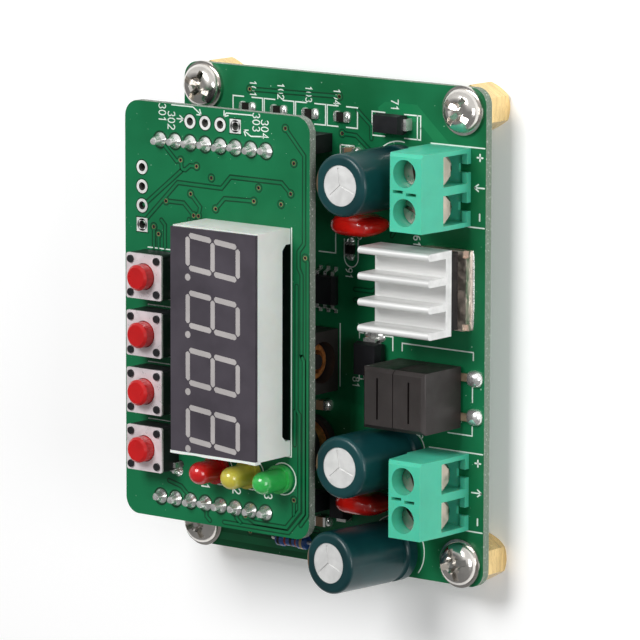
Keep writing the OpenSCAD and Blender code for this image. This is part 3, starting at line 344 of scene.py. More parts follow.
def sleeve_finish():
    """Shrunk printed film: deep teal with a faded bronze stripe down one side of each can."""
    stripe_depth, stripe_shift, stripe_half = 0.55, 0.4, 1.5
    finish = Finish("sleeve_film", (0.003, 0.035, 0.038), 0.32, Specular_IOR_Level=0.3,
                    Coat_Weight=0.12, Coat_Roughness=0.18)
    split = finish.add("SeparateXYZ")
    finish.link(finish.place(), split.inputs[0])
    cloud = finish.noise(500, 4)
    teal = finish.ramp(finish.noise(120, 3), [(0.3, (0.002, 0.026, 0.03)),
                                              (0.7, (0.005, 0.05, 0.054))])
    stripe = None
    for name in CANS:
        low, high = node_box(name + "_capacitor_sleeve")
        stripe_y = (low.y + high.y) / 2 + stripe_shift
        side = finish.math("LESS_THAN", split.outputs["X"], (low.x + stripe_depth) * MM)
        off = finish.math("SUBTRACT", split.outputs["Y"], stripe_y * MM)
        band = finish.math("LESS_THAN", finish.math("ABSOLUTE", off), stripe_half * MM)
        here = finish.math("MULTIPLY", side, band)
        stripe = here if stripe is None else finish.math("MAXIMUM", stripe, here)
    worn = finish.math("MULTIPLY", stripe, finish.math("GREATER_THAN", cloud, 0.42))
    finish.paint(finish.mix(worn, teal, (0.12, 0.075, 0.04)))
    return finish.grain(700, 0.3, 0.02).material


def lens_finish(name, color, glow):
    """Diffused lamp resin."""
    finish = Finish(name, color, 0.18, Subsurface_Weight=0.55, Subsurface_Scale=0.002,
                    Coat_Weight=0.4, Coat_Roughness=0.05)
    finish.shader.inputs["Subsurface Radius"].default_value = glow
    finish.mottle(350, 0.12)
    return finish.grain(600, 0.15, 0.01).material


def make_materials():
    """All finishes by their short names."""
    return {
        # the deck board has painted shade under the display shell
        "deck": board_finish("deck_board", (0.003, 0.12, 0.042), (0.006, 0.155, 0.058),
                             (0.2, 0.24, 0.2), (0.72, 0.74, 0.68),
                             painted_shade_box=node_box("display_shell")),
        "main": board_finish("power_board", (0.002, 0.105, 0.034), (0.006, 0.155, 0.058),
                             (0.2, 0.26, 0.2), (0.74, 0.78, 0.7)),
        "gap": plastic("mask_gap", (0.001, 0.045, 0.016), 0.4, 0.12),
        "track": plastic("mask_track", (0.003, 0.135, 0.048), 0.4, 0.08),
        "pour": plastic("mask_pour", (0.006, 0.175, 0.062), 0.4, 0.1),
        "silk": plastic("silk_ink", (0.72, 0.8, 0.74), 0.6, 0.08, depth=0.004),
        "hole": plastic("hole_shadow", (0.004, 0.006, 0.005), 0.8),
        "pad": metal("tinned_pad", (0.8, 0.8, 0.78), 0.4, 1200, depth=0.02, metallic=0.35),
        "tinned": metal("tinned_copper", (0.5, 0.38, 0.25), 0.4, metallic=0.7),
        "barrel": metal("plated_barrel", (0.1, 0.095, 0.09), 0.5, metallic=0.5),
        "gold": metal("copper_edge", (0.5, 0.32, 0.16), 0.35, 1500),
        "solder": solder_finish(),
        "brass": metal("brass", (0.83, 0.62, 0.3), 0.24, 500, (1, 1, 8)),
        "chrome": metal("screw_plating", (0.7, 0.67, 0.63), 0.17, 700),
        "terminal": plastic("terminal_plastic", (0.075, 0.53, 0.355), 0.42, 0.05, 900,
                            Subsurface_Weight=0.25, Subsurface_Scale=0.0012),
        "contact": metal("contact_metal", (0.78, 0.66, 0.58), 0.42, 900),
        "zinc": metal("zinc_steel", (0.4, 0.34, 0.31), 0.3, 700),
        "sink": sink_finish(),
        "black": plastic("black_moulding", (0.012, 0.012, 0.014), 0.42, 0.25, 1800, 0.01),
        "ferrite": plastic("ferrite", (0.03, 0.025, 0.024), 0.45, 0.16, 1300, 0.02),
        "copper": wire_finish(),
        "can": can_finish(),
        "sleeve": sleeve_finish(),
        "rubber": plastic("rubber_bung", (0.015, 0.015, 0.015), 0.75),
        "red_dip": plastic("red_dip", (0.5, 0.008, 0.005), 0.22, 0.3, 400, 0.03,
                           Coat_Weight=0.5),
        "blue_dip": plastic("blue_dip", (0.03, 0.1, 0.34), 0.25, 0.15, Coat_Weight=0.3),
        "lead": metal("tinned_lead", (0.72, 0.71, 0.69), 0.3, 900, metallic=0.75),
        "ceramic": plastic("ceramic", (0.32, 0.2, 0.12), 0.45, 0.15),
        "glaze": plastic("resistor_glaze", (0.015, 0.013, 0.012), 0.2, 0.2),
        "white": plastic("display_white", (0.82, 0.84, 0.8), 0.42, 0.03, 700,
                         Subsurface_Weight=0.15, Subsurface_Scale=0.001),
        "face": face_finish(),
        "segment": plastic("segment_resin", (0.42, 0.395, 0.39), 0.5, 0.08),
        "red_lens": lens_finish("red_lens", (0.5, 0.008, 0.008), (1, 0.1, 0.08)),
        "yellow_lens": lens_finish("yellow_lens", (0.52, 0.46, 0.06), (1, 0.8, 0.2)),
        "green_lens": lens_finish("green_lens", (0.035, 0.42, 0.085), (0.2, 1, 0.3)),
        "button": plastic("button_red", (0.5, 0.008, 0.009), 0.3, 0.12, 900,
                          Subsurface_Weight=0.15, Subsurface_Scale=0.001, Coat_Weight=0.2),
        "cover": metal("switch_cover", (0.74, 0.67, 0.69), 0.38, 900, metallic=0.3),
    }


def sink_finish():
    """Pale extruded aluminium with drawn lines along X and small scuffs."""
    finish = Finish("sink_aluminium", (0.78, 0.78, 0.77), 0.4, 0.3)
    finish.mottle(500, 0.1, stretch=(0.06, 1, 1))
    finish.rough(700, 0.3, 0.5, stretch=(0.08, 1, 1))
    finish.grain(1500, 0.35, 0.012, stretch=(0.05, 1, 1))
    return finish.grain(420, 0.3, 0.03).material


def wire_finish():
    finish = Finish("copper_wire", (0.78, 0.27, 0.08), 0.28, 0.6, Coat_Weight=0.5)
    finish.mottle(1200, 0.4)
    return finish.grain(900, 0.4, 0.03).material


def can_finish():
    finish = Finish("can_aluminium", (0.72, 0.72, 0.71), 0.42, 0.25)
    finish.mottle(600, 0.07)
    finish.rough(900, 0.35, 0.55)
    return finish.grain(1100, 0.35, 0.02).material


def face_finish():
    """Dark printed film with faint clouds and scratches."""
    finish = Finish("display_dark", (0.06, 0.052, 0.064), 0.45, Specular_IOR_Level=0.2)
    finish.mottle(140, 0.16)
    finish.rough(260, 0.28, 0.5)
    return finish.grain(1300, 0.25, 0.006).material


# ------------------------------------------------------------------ mesh helpers

def finished(name, bm, material, smooth=30):
    """Turns a bmesh in millimetres into an object that rides on the boards.

    Edges sharper than smooth, in degrees, stay sharp; 0 leaves every face flat.
    """
    bmesh.ops.scale(bm, vec=(MM, MM, MM), verts=bm.verts)
    bmesh.ops.recalc_face_normals(bm, faces=bm.faces)
    data = bpy.data.meshes.new(name)
    bm.to_mesh(data)
    bm.free()
    made = bpy.data.objects.new(name, data)
    bpy.context.scene.collection.objects.link(made)
    made.data.materials.append(material)
    if smooth:
        made.data.shade_smooth()
        made.data.set_sharp_from_angle(angle=math.radians(smooth))
    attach(made, BODY)
    return made


def add_prism(bm, outline, low, high):
    """Closed prism over an outline of (x, y) points."""
    floor = [bm.verts.new((x, y, low)) for x, y in outline]
    roof = [bm.verts.new((x, y, high)) for x, y in outline]
    bm.faces.new(floor[::-1])
    bm.faces.new(roof)
    count = len(outline)
    for i in range(count):
        j = (i + 1) % count
        bm.faces.new((floor[i], floor[j], roof[j], roof[i]))


def circle_points(x, y, radius, count=20):
    steps = (2 * math.pi * i / count for i in range(count))
    return [(x + radius * math.cos(a), y + radius * math.sin(a)) for a in steps]


def arc(x, y, rx, ry, start, end, count=8):
    """Points on an ellipse's arc, angles in degrees."""
    angles = (math.radians(start + (end - start) * i / count) for i in range(count + 1))
    return [(x + rx * math.cos(a), y + ry * math.sin(a)) for a in angles]


def add_ring(bm, x, y, inner, outer, low, high, count=24):
    """Closed ring with a rectangular section."""
    profile = [(inner, low), (outer, low), (outer, high), (inner, high)]
    add_lathe(bm, profile, (x, y, 0), count, closed=True)


def join_rings(bm, first, second, count):
    """Faces between two rings of vertices; a ring of one vertex is a point."""
    for i in range(count):
        j = (i + 1) % count
        corners = [first[i % len(first)], first[j % len(first)],
                   second[j % len(second)], second[i % len(second)]]
        unique = list(dict.fromkeys(corners))
        if len(unique) > 2:
            bm.faces.new(unique)


def add_lathe(bm, profile, place, count=24, closed=False, turn=None):
    """Turns (radius, z) points about Z; ends on the axis close to a point."""
    turn = turn or Matrix.Identity(3)
    rings = []
    for radius, z in profile:
        steps = 1 if radius < 1e-6 else count
        ring = []
        for i in range(steps):
            a = 2 * math.pi * i / count
            spot = turn @ Vector((radius * math.cos(a), radius * math.sin(a), z))
            ring.append(bm.verts.new(spot + Vector(place)))
        rings.append(ring)
    pairs = list(zip(rings, rings[1:]))
    if closed:
        pairs.append((rings[-1], rings[0]))
    for first, second in pairs:
        join_rings(bm, first, second, count)


def ribbon(points, width):
    """Outline of a path: mitred at its bends and round at its ends."""
    sharpest = 0.4                              # cosine past which a mitre grows no longer
    path = [Vector(p) for p in points]
    half = width / 2
    left, right = [], []
    steps = [(b - a).normalized() for a, b in zip(path, path[1:])]
    for i, point in enumerate(path):
        before = steps[max(i - 1, 0)]
        after = steps[min(i, len(steps) - 1)]
        mean = (before + after).normalized()
        reach = half / max(mean.dot(after), sharpest)
        side = Vector((-mean.y, mean.x)) * reach
        left.append(point + side)
        right.append(point - side)

    def cap(middle, direction):
        a = math.degrees(math.atan2(direction.y, direction.x))
        return [Vector(p) for p in arc(middle.x, middle.y, half, half, a + 90, a - 90, 6)[1:-1]]

    ends = cap(path[-1], steps[-1]), cap(path[0], -steps[0])
    return [tuple(p) for p in left + ends[0] + right[::-1] + ends[1]]


def add_path(bm, points, width, low, high):
    """A raised stroke along a path."""
    add_prism(bm, ribbon(points, width), low, high)


def loop_path(bm, points, width, low, high):
    """A closed outline drawn as separate strokes that meet at its corners."""
    for a, b in zip(points, points[1:] + points[:1]):
        add_path(bm, [a, b], width, low, high)


# ------------------------------------------------------------------ board artwork

INK = 0.02                                      # height of printed ink above the lacquer
GAP_W, TRACK_W = 0.72, 0.34                     # a track's dark gap and the strip inside it
VIA_R, VIA_RIM_R, VIA_HOLE_R = 0.45, 0.29, 0.21
TRACK_SHIFT = 0.3                               # from the tracks' points to their place in X
STROKES = {
    "0": [arc(0.5, 1, 0.5, 1, 90, 440, 16)],
    "1": [[(0.15, 1.6), (0.55, 2), (0.55, 0)]],
    "2": [arc(0.5, 1.48, 0.5, 0.52, 165, -45, 8) + [(0.0, 0.0), (1.0, 0.0)]],
    "3": [arc(0.48, 1.5, 0.45, 0.5, 150, -80, 8), arc(0.48, 0.5, 0.52, 0.5, 80, -150, 8)],
    "4": [[(0.75, 0), (0.75, 2), (0.0, 0.6), (1.05, 0.6)]],
    "5": [[(0.95, 2), (0.12, 2), (0.08, 1.1)] + arc(0.48, 0.62, 0.5, 0.6, 115, -150, 8)],
    "6": [[(0.8, 1.95)] + arc(0.5, 0.95, 0.5, 0.9, 120, 200, 5),
          arc(0.5, 0.55, 0.5, 0.55, 90, 440, 14)],
    "7": [[(0, 2), (1, 2), (0.35, 0)]],
    "8": [arc(0.5, 1.5, 0.42, 0.48, 90, 440, 12), arc(0.5, 0.52, 0.5, 0.52, 90, 440, 12)],
    "9": [arc(0.5, 1.45, 0.5, 0.55, 90, 440, 14), [(1.0, 1.4), (0.85, 0.5), (0.3, 0.0)]],
    "+": [[(0, 1), (1, 1)], [(0.5, 0.5), (0.5, 1.5)]],
    "-": [[(0, 1), (1, 1)]],
    ">": [[(0, 1), (1.6, 1)], [(1.0, 1.5), (1.6, 1), (1.0, 0.5)]],
}


def write(bm, text, place, size, angle, top, width=0.17):
    """Draws generic numbers and signs, size tall, centred on a place, turned by an angle."""
    unit = size / 2                             # the strokes are two units tall
    space = 0.5 * unit
    advance = unit + space
    c, s = math.cos(math.radians(angle)), math.sin(math.radians(angle))
    start = -(len(text) * advance - space) / 2
    for index, sign in enumerate(text):
        for stroke in STROKES[sign]:
            points = []
            for x, y in stroke:
                u = start + index * advance + x * unit
                v = (y - 1) * unit
                points.append((place[0] + u * c - v * s, place[1] + u * s + v * c))
            add_path(bm, points, width, top, top + INK)


DECK_TRACKS = [
    [(-19.1, 23.4), (-16.5, 21.0), (-15.8, 21.2)],
    [(-15.7, 20.9), (-15.6, 20.0), (-15.0, 20.0), (-14.2, 20.6), (-13.1, 20.6)],
    [(-15.7, 19.8), (-22.0, 14.8)],
    [(-22.0, 12.6), (-16.3, 18.2), (-8.9, 18.1), (-7.4, 19.7), (1.1, 19.7), (2.6, 18.4)],
    [(-18.3, 15.6), (-15.3, 15.6), (-13.6, 14.1)],
    [(-14.1, 16.9), (-12.5, 15.3), (-12.8, 14.1)],
    [(-9.9, 15.3), (-8.4, 16.8), (-3.5, 16.9)],
    [(1.7, 26.8), (4.8, 23.5), (4.8, 12.1), (3.9, 11.0), (3.9, 8.9), (4.4, 8.0), (4.4, -2.5)],
    [(3.6, 6.5), (3.6, -9.7), (4.1, -10.3), (4.1, -22.9), (1.9, -25.4), (-3.4, -25.4),
     (-4.9, -24.7)],
    [(4.4, -2.5), (4.8, -3.2), (4.8, -23.2), (2.3, -26.0), (-8.5, -26.0)],
    [(5.4, 9.8), (5.4, -23.4), (4.3, -24.8)],
    [(3.2, -21.6), (3.2, -23.6)],
    [(3.3, -14.3), (3.3, -9.9)],
    [(-20.4, 11.6), (-20.4, 9.2)],
    [(-19.6, 10.8), (-19.6, 9.2)],
    [(-19.1, 13.0), (-18.5, 12.4), (-18.5, 9.2)],
    [(-17.9, -21.6), (-15.8, -22.1), (-14.4, -23.3)],
    [(-11.5, -24.6), (-11.5, -25.6), (-10.9, -26.1)],
    [(-6.4, -24.6), (-6.4, -25.2), (-5.7, -25.8)],
    [(-13.4, 9.0), (-13.4, -14.2), (-12.2, -15.6)],
    [(-14.4, 13.5), (-14.4, -10.0), (-15.4, -11.2)],
]
DECK_VIAS = [(-15.8, 21.2), (-13.1, 20.6), (2.6, 18.4), (-13.6, 14.1), (-12.8, 14.1), (-14.1, 16.9),
             (-9.9, 15.3), (-3.5, 16.9), (1.7, 26.8), (-20.4, 12.0), (-19.6, 11.1), (3.1, 22.4),
             (5.0, 10.3), (3.2, -21.6), (-4.9, -24.7), (1.0, 16.9), (-2.7, 18.7), (-10.6, 19.3),
             (-18.3, 15.6)]
MAIN_TRACKS = [
    [(-14.1, 29.5), (0.9, 29.7)],
    [(1.4, 24.9), (3.7, 24.8), (6.2, 22.9)],
    [(3.8, 28.2), (6.2, 26.3), (6.2, 24.6)],
    [(-20.5, 20.0), (-20.5, -18.0), (-17.5, -21.0)],
    [(-22.0, 24.0), (-22.0, -24.0)],
    [(-14.0, -29.9), (-9.6, -29.9)],
    [(-10.5, -27.4), (-8.0, -28.4), (-2.5, -28.4)],
    [(3.6, 4.6), (6.4, 4.6), (7.2, 5.2), (8.6, 5.2)],
    [(3.6, 3.2), (7.0, 3.2), (8.0, 4.4), (9.0, 4.4)],
    [(3.0, 14.8), (3.0, 18.4), (4.0, 19.6)],
    [(9.6, 12.2), (10.4, 13.4), (13.6, 13.4)],
]
MAIN_VIAS = [(-14.1, 29.5), (0.9, 29.7), (1.4, 24.9), (-20.5, 20.0), (-22.0, 24.0), (-14.0, -29.9),
             (-10.5, -27.4), (3.0, 14.8), (13.6, 13.4)]


def add_tracks(prefix, tracks, vias, top):
    """Tracks show as a strip of green between two darker gaps; vias as small rings."""
    gaps, strips, rings, holes = (bmesh.new() for _ in range(4))
    for points in tracks:
        points = [(x + TRACK_SHIFT, y) for x, y in points]
        add_path(gaps, points, GAP_W, top, top + 0.008)
        add_path(strips, points, TRACK_W, top, top + 0.024)
    for x, y in vias:
        x += TRACK_SHIFT
        add_prism(gaps, circle_points(x, y, VIA_R + 0.17), top, top + 0.01)
        add_ring(strips, x, y, VIA_RIM_R - 0.01, VIA_R, top, top + 0.028, count=20)
        add_ring(rings, x, y, VIA_HOLE_R - 0.01, VIA_RIM_R, top, top + 0.034, count=20)
        add_prism(holes, circle_points(x, y, VIA_HOLE_R, 14), top, top + 0.03)
    finished(prefix + "_gaps", gaps, M["gap"], 0)
    finished(prefix + "_tracks", strips, M["track"], 0)
    finished(prefix + "_via_rings", rings, M["gold"])
    finished(prefix + "_via_holes", holes, M["hole"], 0)


def box_corners(low_x, low_y, high_x, high_y):
    """Corners of a rectangle, in turn."""
    return [(low_x, low_y), (high_x, low_y), (high_x, high_y), (low_x, high_y)]


def add_arrow(bm, line, width, low, high):
    """A line with an open arrowhead at its end."""
    barb_l, barb_turn = 0.75, math.radians(35)
    add_path(bm, line, width, low, high)
    tip = Vector(line[-1])
    back = (Vector(line[-2]) - tip).normalized()
    for turn in (barb_turn, -barb_turn):
        barb = Matrix.Rotation(turn, 2) @ back * barb_l
        add_path(bm, [tip, tip + barb], width, low, high)


def make_deck_silk():
    """Numbers and arrows at the header holes, outlines of the display, lamps and switches."""
    bm = bmesh.new()
    top = DECK_TOP
    ink = (0.16, top, top + INK)
    for text, x, y in (("301", -18.6, 27.2), ("302", -17.05, 26.3), ("303", -2.8, 27.2),
                       ("304", -1.4, 26.4)):
        write(bm, text, (x, y), 1.15, -90, top, 0.14)
    for line in ([(-17.0, 28.35), (-13.4, 28.35), (-12.0, 27.4)],
                 [(-16.1, 26.6), (-15.0, 26.6)],
                 [(-3.5, 28.05), (-7.8, 28.0), (-8.2, 27.5)],
                 [(-2.0, 25.4), (-3.7, 25.3), (-4.9, 26.0)]):
        add_arrow(bm, line, *ink)
    low, high = node_box("display_shell")
    add_path(bm, [(high.x + 0.2, high.y + 0.1), (high.x + 0.2, low.y - 0.15),
                  (low.x - 0.15, low.y - 0.15)], *ink)
    for index, lamp in enumerate(("red", "yellow", "green")):
        middle = node_middle(lamp + "_led")
        add_path(bm, arc(middle.x + 0.1, middle.y, 2.1, 2.1, -125, 125, 18), *ink)
        write(bm, str(index + 1), (middle.x - 2.4, middle.y - 2.6), 1.25, -90, top)
    for index in range(4):
        middle = node_middle(f"button_{index + 1}")
        for side in (-1, 1):
            y = middle.y + side * 3.3
            add_path(bm, [(middle.x - 2.2, y), (middle.x + 2.2, y)], *ink)
    finished("deck_silk", bm, M["silk"], 0)


def draw_chip_boxes(bm, top, ink):
    """Brackets and numbers at the outer row of chip resistors, a rounded box at the inner one."""
    half_l, half_w, gap = 2.5, 1.35, 0.7
    middles = [(low + high) / 2 for low, high in islands("chip_resistors")]
    outer = sorted((spot for spot in middles if spot.y > 20), key=lambda spot: spot.x)
    for index, (x, y, _) in enumerate(outer):
        for side in (-1, 1):
            near, far = x + side * gap, x + side * half_l
            add_path(bm, [(near, y + half_w), (far, y + half_w), (far, y - half_w),
                          (near, y - half_w)], *ink)
        write(bm, str(101 + index), (x + 0.9 - 0.6 * index, y + 2.5), 1.0, -90, top, 0.14)
    for x, y, _ in (spot for spot in middles if spot.y < 20):
        half = 1.15
        add_path(bm, [(x - half, y + 1.2)] + arc(x, y - 1.1, half, 1.3, 180, 360, 12)
                 + [(x + half, y + 1.2)], *ink)


def draw_corner_diode(bm, top, ink):
    """Bracket with a bar at its marked end, and its number."""
    low_x, high_x, low_y, high_y = 6.6, 14.5, 25.1, 28.2
    middle_y = 26.6
    for y in (high_y, low_y):
        add_path(bm, [(low_x, middle_y), (low_x, y), (low_x + 2.1, y)], *ink)
        add_path(bm, [(high_x - 2.6, y), (high_x, y), (high_x, middle_y)], *ink)
    add_path(bm, [(high_x - 0.52, high_y), (high_x - 0.52, low_y)], *ink)
    write(bm, "71", (10.3, 29.3), 1.1, -90, top, 0.15)


def draw_terminal_marks(bm, top, ink):
    """End lines, signs and an arrow for the way of the current at both terminals."""
    for name in ("input", "output"):
        low, high = node_box(name + "_terminal_body")
        middle = (low.y + high.y) / 2
        for y, start in ((high.y + 0.1, low.x + 0.2), (low.y - 0.1, high.x - 0.4)):
            add_path(bm, [(start, y), (24.8, y)], *ink)
        write(bm, "+", (24.05, middle + 3.9), 1.7, -90, top, 0.22)
        write(bm, "-", (24.05, middle - 3.8), 1.7, -90, top, 0.22)
        tail, tip = (24.75, 23.2) if name == "input" else (23.1, 24.65)
        add_arrow(bm, [(tail, middle), (tip, middle)], 0.2, top, top + INK)


def draw_coil_and_diode(bm, ink):
    """Broken outlines round the ferrite inductor, the power diode and the choke."""
    right = 23.2
    low, high = node_box("ferrite_core_left")[0], node_box("ferrite_core_right")[1]
    add_path(bm, [(low.x + 0.1, high.y + 0.9), (low.x + 0.1, high.y + 1.9),
                  (right, high.y + 1.9), (right, high.y + 0.9)], *ink)
    add_path(bm, [(right - 0.1, -5.95), (right - 0.1, -8.2)], *ink)
    add_path(bm, [(right - 0.1, -11.4), (right - 0.1, -12.6), (19.2, -12.6)], *ink)
    low, high = node_box("power_diode")
    for y, way in ((high.y + 0.8, -1), (low.y - 0.8, 1)):
        add_path(bm, [(low.x, y), (low.x - 0.7, y), (low.x - 0.7, y + way * 0.7)], *ink)
        add_path(bm, [(high.x - 0.4, y), (high.x + 0.9, y), (high.x + 0.9, y + way * 1.8)], *ink)
    low, high = node_box("choke_core")
    add_path(bm, [(high.x + 0.35, high.y + 0.7), (high.x + 0.35, low.y + 0.6)], *ink)


def draw_can_rings(bm, top):
    """Broken circles round the feet of the three cans."""
    ring_r, board_end = 4.45, -32
    lean_reach = 0.65                           # from the leaning can's middle to its foot
    for name in CANS:
        middle = node_middle(name + "_capacitor_sleeve")
        if name == "leaning":
            middle.x += lean_reach
        for start, end in ((-70, 60), (80, 200)):
            points = [spot for spot in arc(middle.x, middle.y, ring_r, ring_r, start, end, 20)
                      if spot[1] > board_end]
            add_path(bm, points, 0.15, top, top + INK)


def make_main_silk():
    bm = bmesh.new()
    top = MAIN_TOP
    ink = (0.17, top, top + INK)
    draw_chip_boxes(bm, top, ink)
    draw_corner_diode(bm, top, ink)
    draw_terminal_marks(bm, top, ink)
    draw_coil_and_diode(bm, ink)
    draw_can_rings(bm, top)
    add_path(bm, [(-2.1, 9.05), (0.65, 9.05), (0.65, 11.6)], *ink)
    loop_path(bm, box_corners(1.4, 20.6, 3.7, 23.4), *ink)
    for text, x, y in (("52", 14.6, -13.2), ("81", 4.1, -7.7), ("61", 14.0, 11.9),
                       ("91", 2.9, 6.6)):
        write(bm, text, (x, y), 1.05, -90, top, 0.15)
    dot = circle_points(4.6, 11.6, 0.35, 12)
    add_path(bm, dot + dot[:1], 0.12, top, top + INK)
    finished("main_silk", bm, M["silk"], 0)


def make_pours():
    """Wide copper areas that show through the lacquer."""
    bm = bmesh.new()
    high = MAIN_TOP + 0.006
    band = [(7.6, 28.8), (8.7, 29.6), (13.9, 29.6), (19.6, 24.6), (17.2, 24.6), (14.2, 27.4),
            (7.6, 27.4)]
    add_prism(bm, band, MAIN_TOP, high)
    flank = [(3.2, -10.6), (5.2, -10.6), (9.6, -14.4), (9.6, -15.2), (3.2, -15.2)]
    add_prism(bm, flank, MAIN_TOP, high)
    add_prism(bm, box_corners(4.6, 15.6, 6.2, 23.6), MAIN_TOP, high)
    add_prism(bm, box_corners(-21.0, -31.6, 6.0, -30.6), MAIN_TOP, high)
    finished("main_pours", bm, M["pour"], 0)


def through_holes():
    """Empty header holes of the control board, as (x, y, whether its pad is square)."""
    mounts = {mount["name"]: mount for mount in frame["record"]["mounts"]}
    serial = Vector(mounts["serial_header_holes"]["pos_m"]) / MM
    side = Vector(mounts["side_header_holes"]["pos_m"]) / MM
    holes = [(serial.x + (i - 1.5) * PIN_PITCH, serial.y, i == 3) for i in range(4)]
    return holes + [(side.x, side.y + (1.5 - i) * PIN_PITCH, i == 3) for i in range(4)]


def make_pads():
    """Plated rings round the empty header holes, on both faces of the control board."""
    bm = bmesh.new()
    hole_r, pad_r, rim = 0.57, 0.92, 0.16
    pin_rim_r = 1.0
    for face, way in ((DECK_TOP, 1), (DECK_UNDER, -1)):
        low, high = sorted((face, face + way * 0.035))
        for x, y, square in through_holes():
            if square:
                for bar in ((-pad_r, -pad_r, pad_r, -hole_r), (-pad_r, hole_r, pad_r, pad_r),
                            (-pad_r, -hole_r, -hole_r, hole_r), (hole_r, -hole_r, pad_r, hole_r)):
                    add_prism(bm, [(x + a, y + b) for a, b in box_corners(*bar)], low, high)
                add_ring(bm, x, y, hole_r - 0.02, hole_r + 0.25, low, high)
            else:
                add_ring(bm, x, y, hole_r - 0.02, pad_r, low, high)
    barrels, rims = bmesh.new(), bmesh.new()
    rim_top = DECK_TOP + 0.01
    for x, y, square in through_holes():
        add_ring(barrels, x, y, hole_r - 0.05, hole_r - 0.01, DECK_UNDER + 0.01, DECK_TOP - 0.01)
        if square:
            side = pad_r + rim
            for low, high in ((-side, -pad_r), (pad_r, side)):
                strip = box_corners(x - side, y + low, x + side, y + high)
                add_prism(rims, strip, DECK_TOP, rim_top)
        else:
            add_ring(rims, x, y, pad_r, pad_r + rim, DECK_TOP, rim_top)
    for x, y in header_spots():
        add_ring(rims, x, y, pin_rim_r, pin_rim_r + 0.22, DECK_TOP, rim_top)
    finished("header_pads", bm, M["pad"], 30)
    finished("hole_barrels", barrels, M["barrel"], 30)
    finished("pad_rims", rims, M["gap"], 0)


# ------------------------------------------------------------------ solder

def add_cone(bm, x, y, face, way, size, seed):
    """A cone of solder round a lead, with its clipped tip just above it.

    The size is the radius of its foot, its height and the lead's radius.
    """
    foot, height, pin = size
    wobble = random.Random(seed)
    lean = (wobble.uniform(-0.08, 0.08), wobble.uniform(-0.08, 0.08))
    tall = height * wobble.uniform(0.85, 1.15)
    profile = [(foot, 0), (foot * 0.97, 0.06), (foot * 0.78, 0.2 * tall),
               (foot * 0.58, 0.45 * tall), (pin * 1.25, 0.85 * tall), (pin * 1.05, tall),
               (0, tall * 1.04)]
    count = 18
    rings = []
    for radius, z in profile:
        steps = 1 if radius == 0 else count
        ring = []
        for i in range(steps):
            a = 2 * math.pi * i / count
            r = radius * (1 + 0.06 * math.sin(3 * a + seed) * (z / tall))
            ring.append(bm.verts.new((x + r * math.cos(a) + lean[0] * z,
                                      y + r * math.sin(a) + lean[1] * z, face + way * z)))
        rings.append(ring)
    bm.faces.new(rings[0])
    for first, second in zip(rings, rings[1:]):
        join_rings(bm, first, second, count)


def header_spots():
    """Places of the sixteen header pins, from the box of the pins and their solder feet."""
    foot_r, pins_in_row = 0.85, 8
    low, high = node_box("header_pins")
    first = Vector((low.x + foot_r, low.y + foot_r))
    last = Vector((high.x - foot_r, high.y - foot_r))
    pitch = (last.x - first.x) / (pins_in_row - 1)
    return [(first.x + i * pitch, y) for y in (first.y, last.y) for i in range(pins_in_row)]


def islands(name):
    """Lowest and highest corner of each separate piece of a CAD node, in millimetres."""
    bm = bmesh.new()
    bm.from_mesh(frame["nodes"][name].data)
    bmesh.ops.remove_doubles(bm, verts=bm.verts, dist=1e-7)
    left = dict.fromkeys(bm.verts)              # a dict keeps the mesh's own order
    found = []
    while left:
        queue = [next(iter(left))]
        left.pop(queue[0])
        group = list(queue)
        while queue:
            for edge in queue.pop().link_edges:
                for vert in edge.verts:
                    if vert in left:
                        left.pop(vert)
                        queue.append(vert)
                        group.append(vert)
        low = Vector([min(v.co[i] for v in group) for i in range(3)]) / MM
        high = Vector([max(v.co[i] for v in group) for i in range(3)]) / MM
        found.append((low, high))
    bm.free()
    return found


def make_solder():
    """Cones of solder round every lead that passes through a board."""
    header_above, header_below = (1.0, 1.4, 0.42), (0.85, 0.85, 0.36)
    part_lead, lamp_lead, display_pin = (0.9, 0.8, 0.3), (0.7, 0.8, 0.3), (0.7, 0.8, 0.28)
    terminal_pin, bare_pad = (1.25, 0.95, 0.5), (0.8, 1.0, 0.25)
    half_wire = 0.25
    above, under_main, under_deck = (bmesh.new() for _ in range(3))
    for seed, (x, y) in enumerate(header_spots()):
        add_cone(under_main, x, y, MAIN_UNDER, -1, header_below, seed)
        add_cone(above, x, y, DECK_TOP, 1, header_above, seed + 40)
    for low, high in islands("through_hole_leads"):
        x, y = (low.x + high.x) / 2, (low.y + high.y) / 2
        if low.z < MAIN_UNDER:
            if high.x - low.x > 1.2:
                # One of the axial resistor's bent leads, which passes the board at its far end.
                x = high.x - half_wire if x > -5.2 else low.x + half_wire
            add_cone(under_main, x, y, MAIN_UNDER, -1, part_lead, round(x * 10))
        elif low.z < DECK_UNDER:
            add_cone(under_deck, x, y, DECK_UNDER, -1, lamp_lead, round(y * 10))
    for low, high in islands("display_pins"):
        x, y = (low.x + high.x) / 2, (low.y + high.y) / 2
        add_cone(under_deck, x, y, DECK_UNDER, -1, display_pin, round(low.y * 7))
    for low, high in islands("terminal_contacts"):
        x, y = low.x + 0.4, (low.y + high.y) / 2
        add_cone(under_main, x, y, MAIN_UNDER, -1, terminal_pin, round(low.y))
    add_cone(above, -16.0, -20.1, DECK_TOP, 1, bare_pad, 5)
    finished("solder_above", above, M["solder"], 50)
    finished("solder_under_main", under_main, M["solder"], 50)
    finished("solder_under_deck", under_deck, M["solder"], 50)


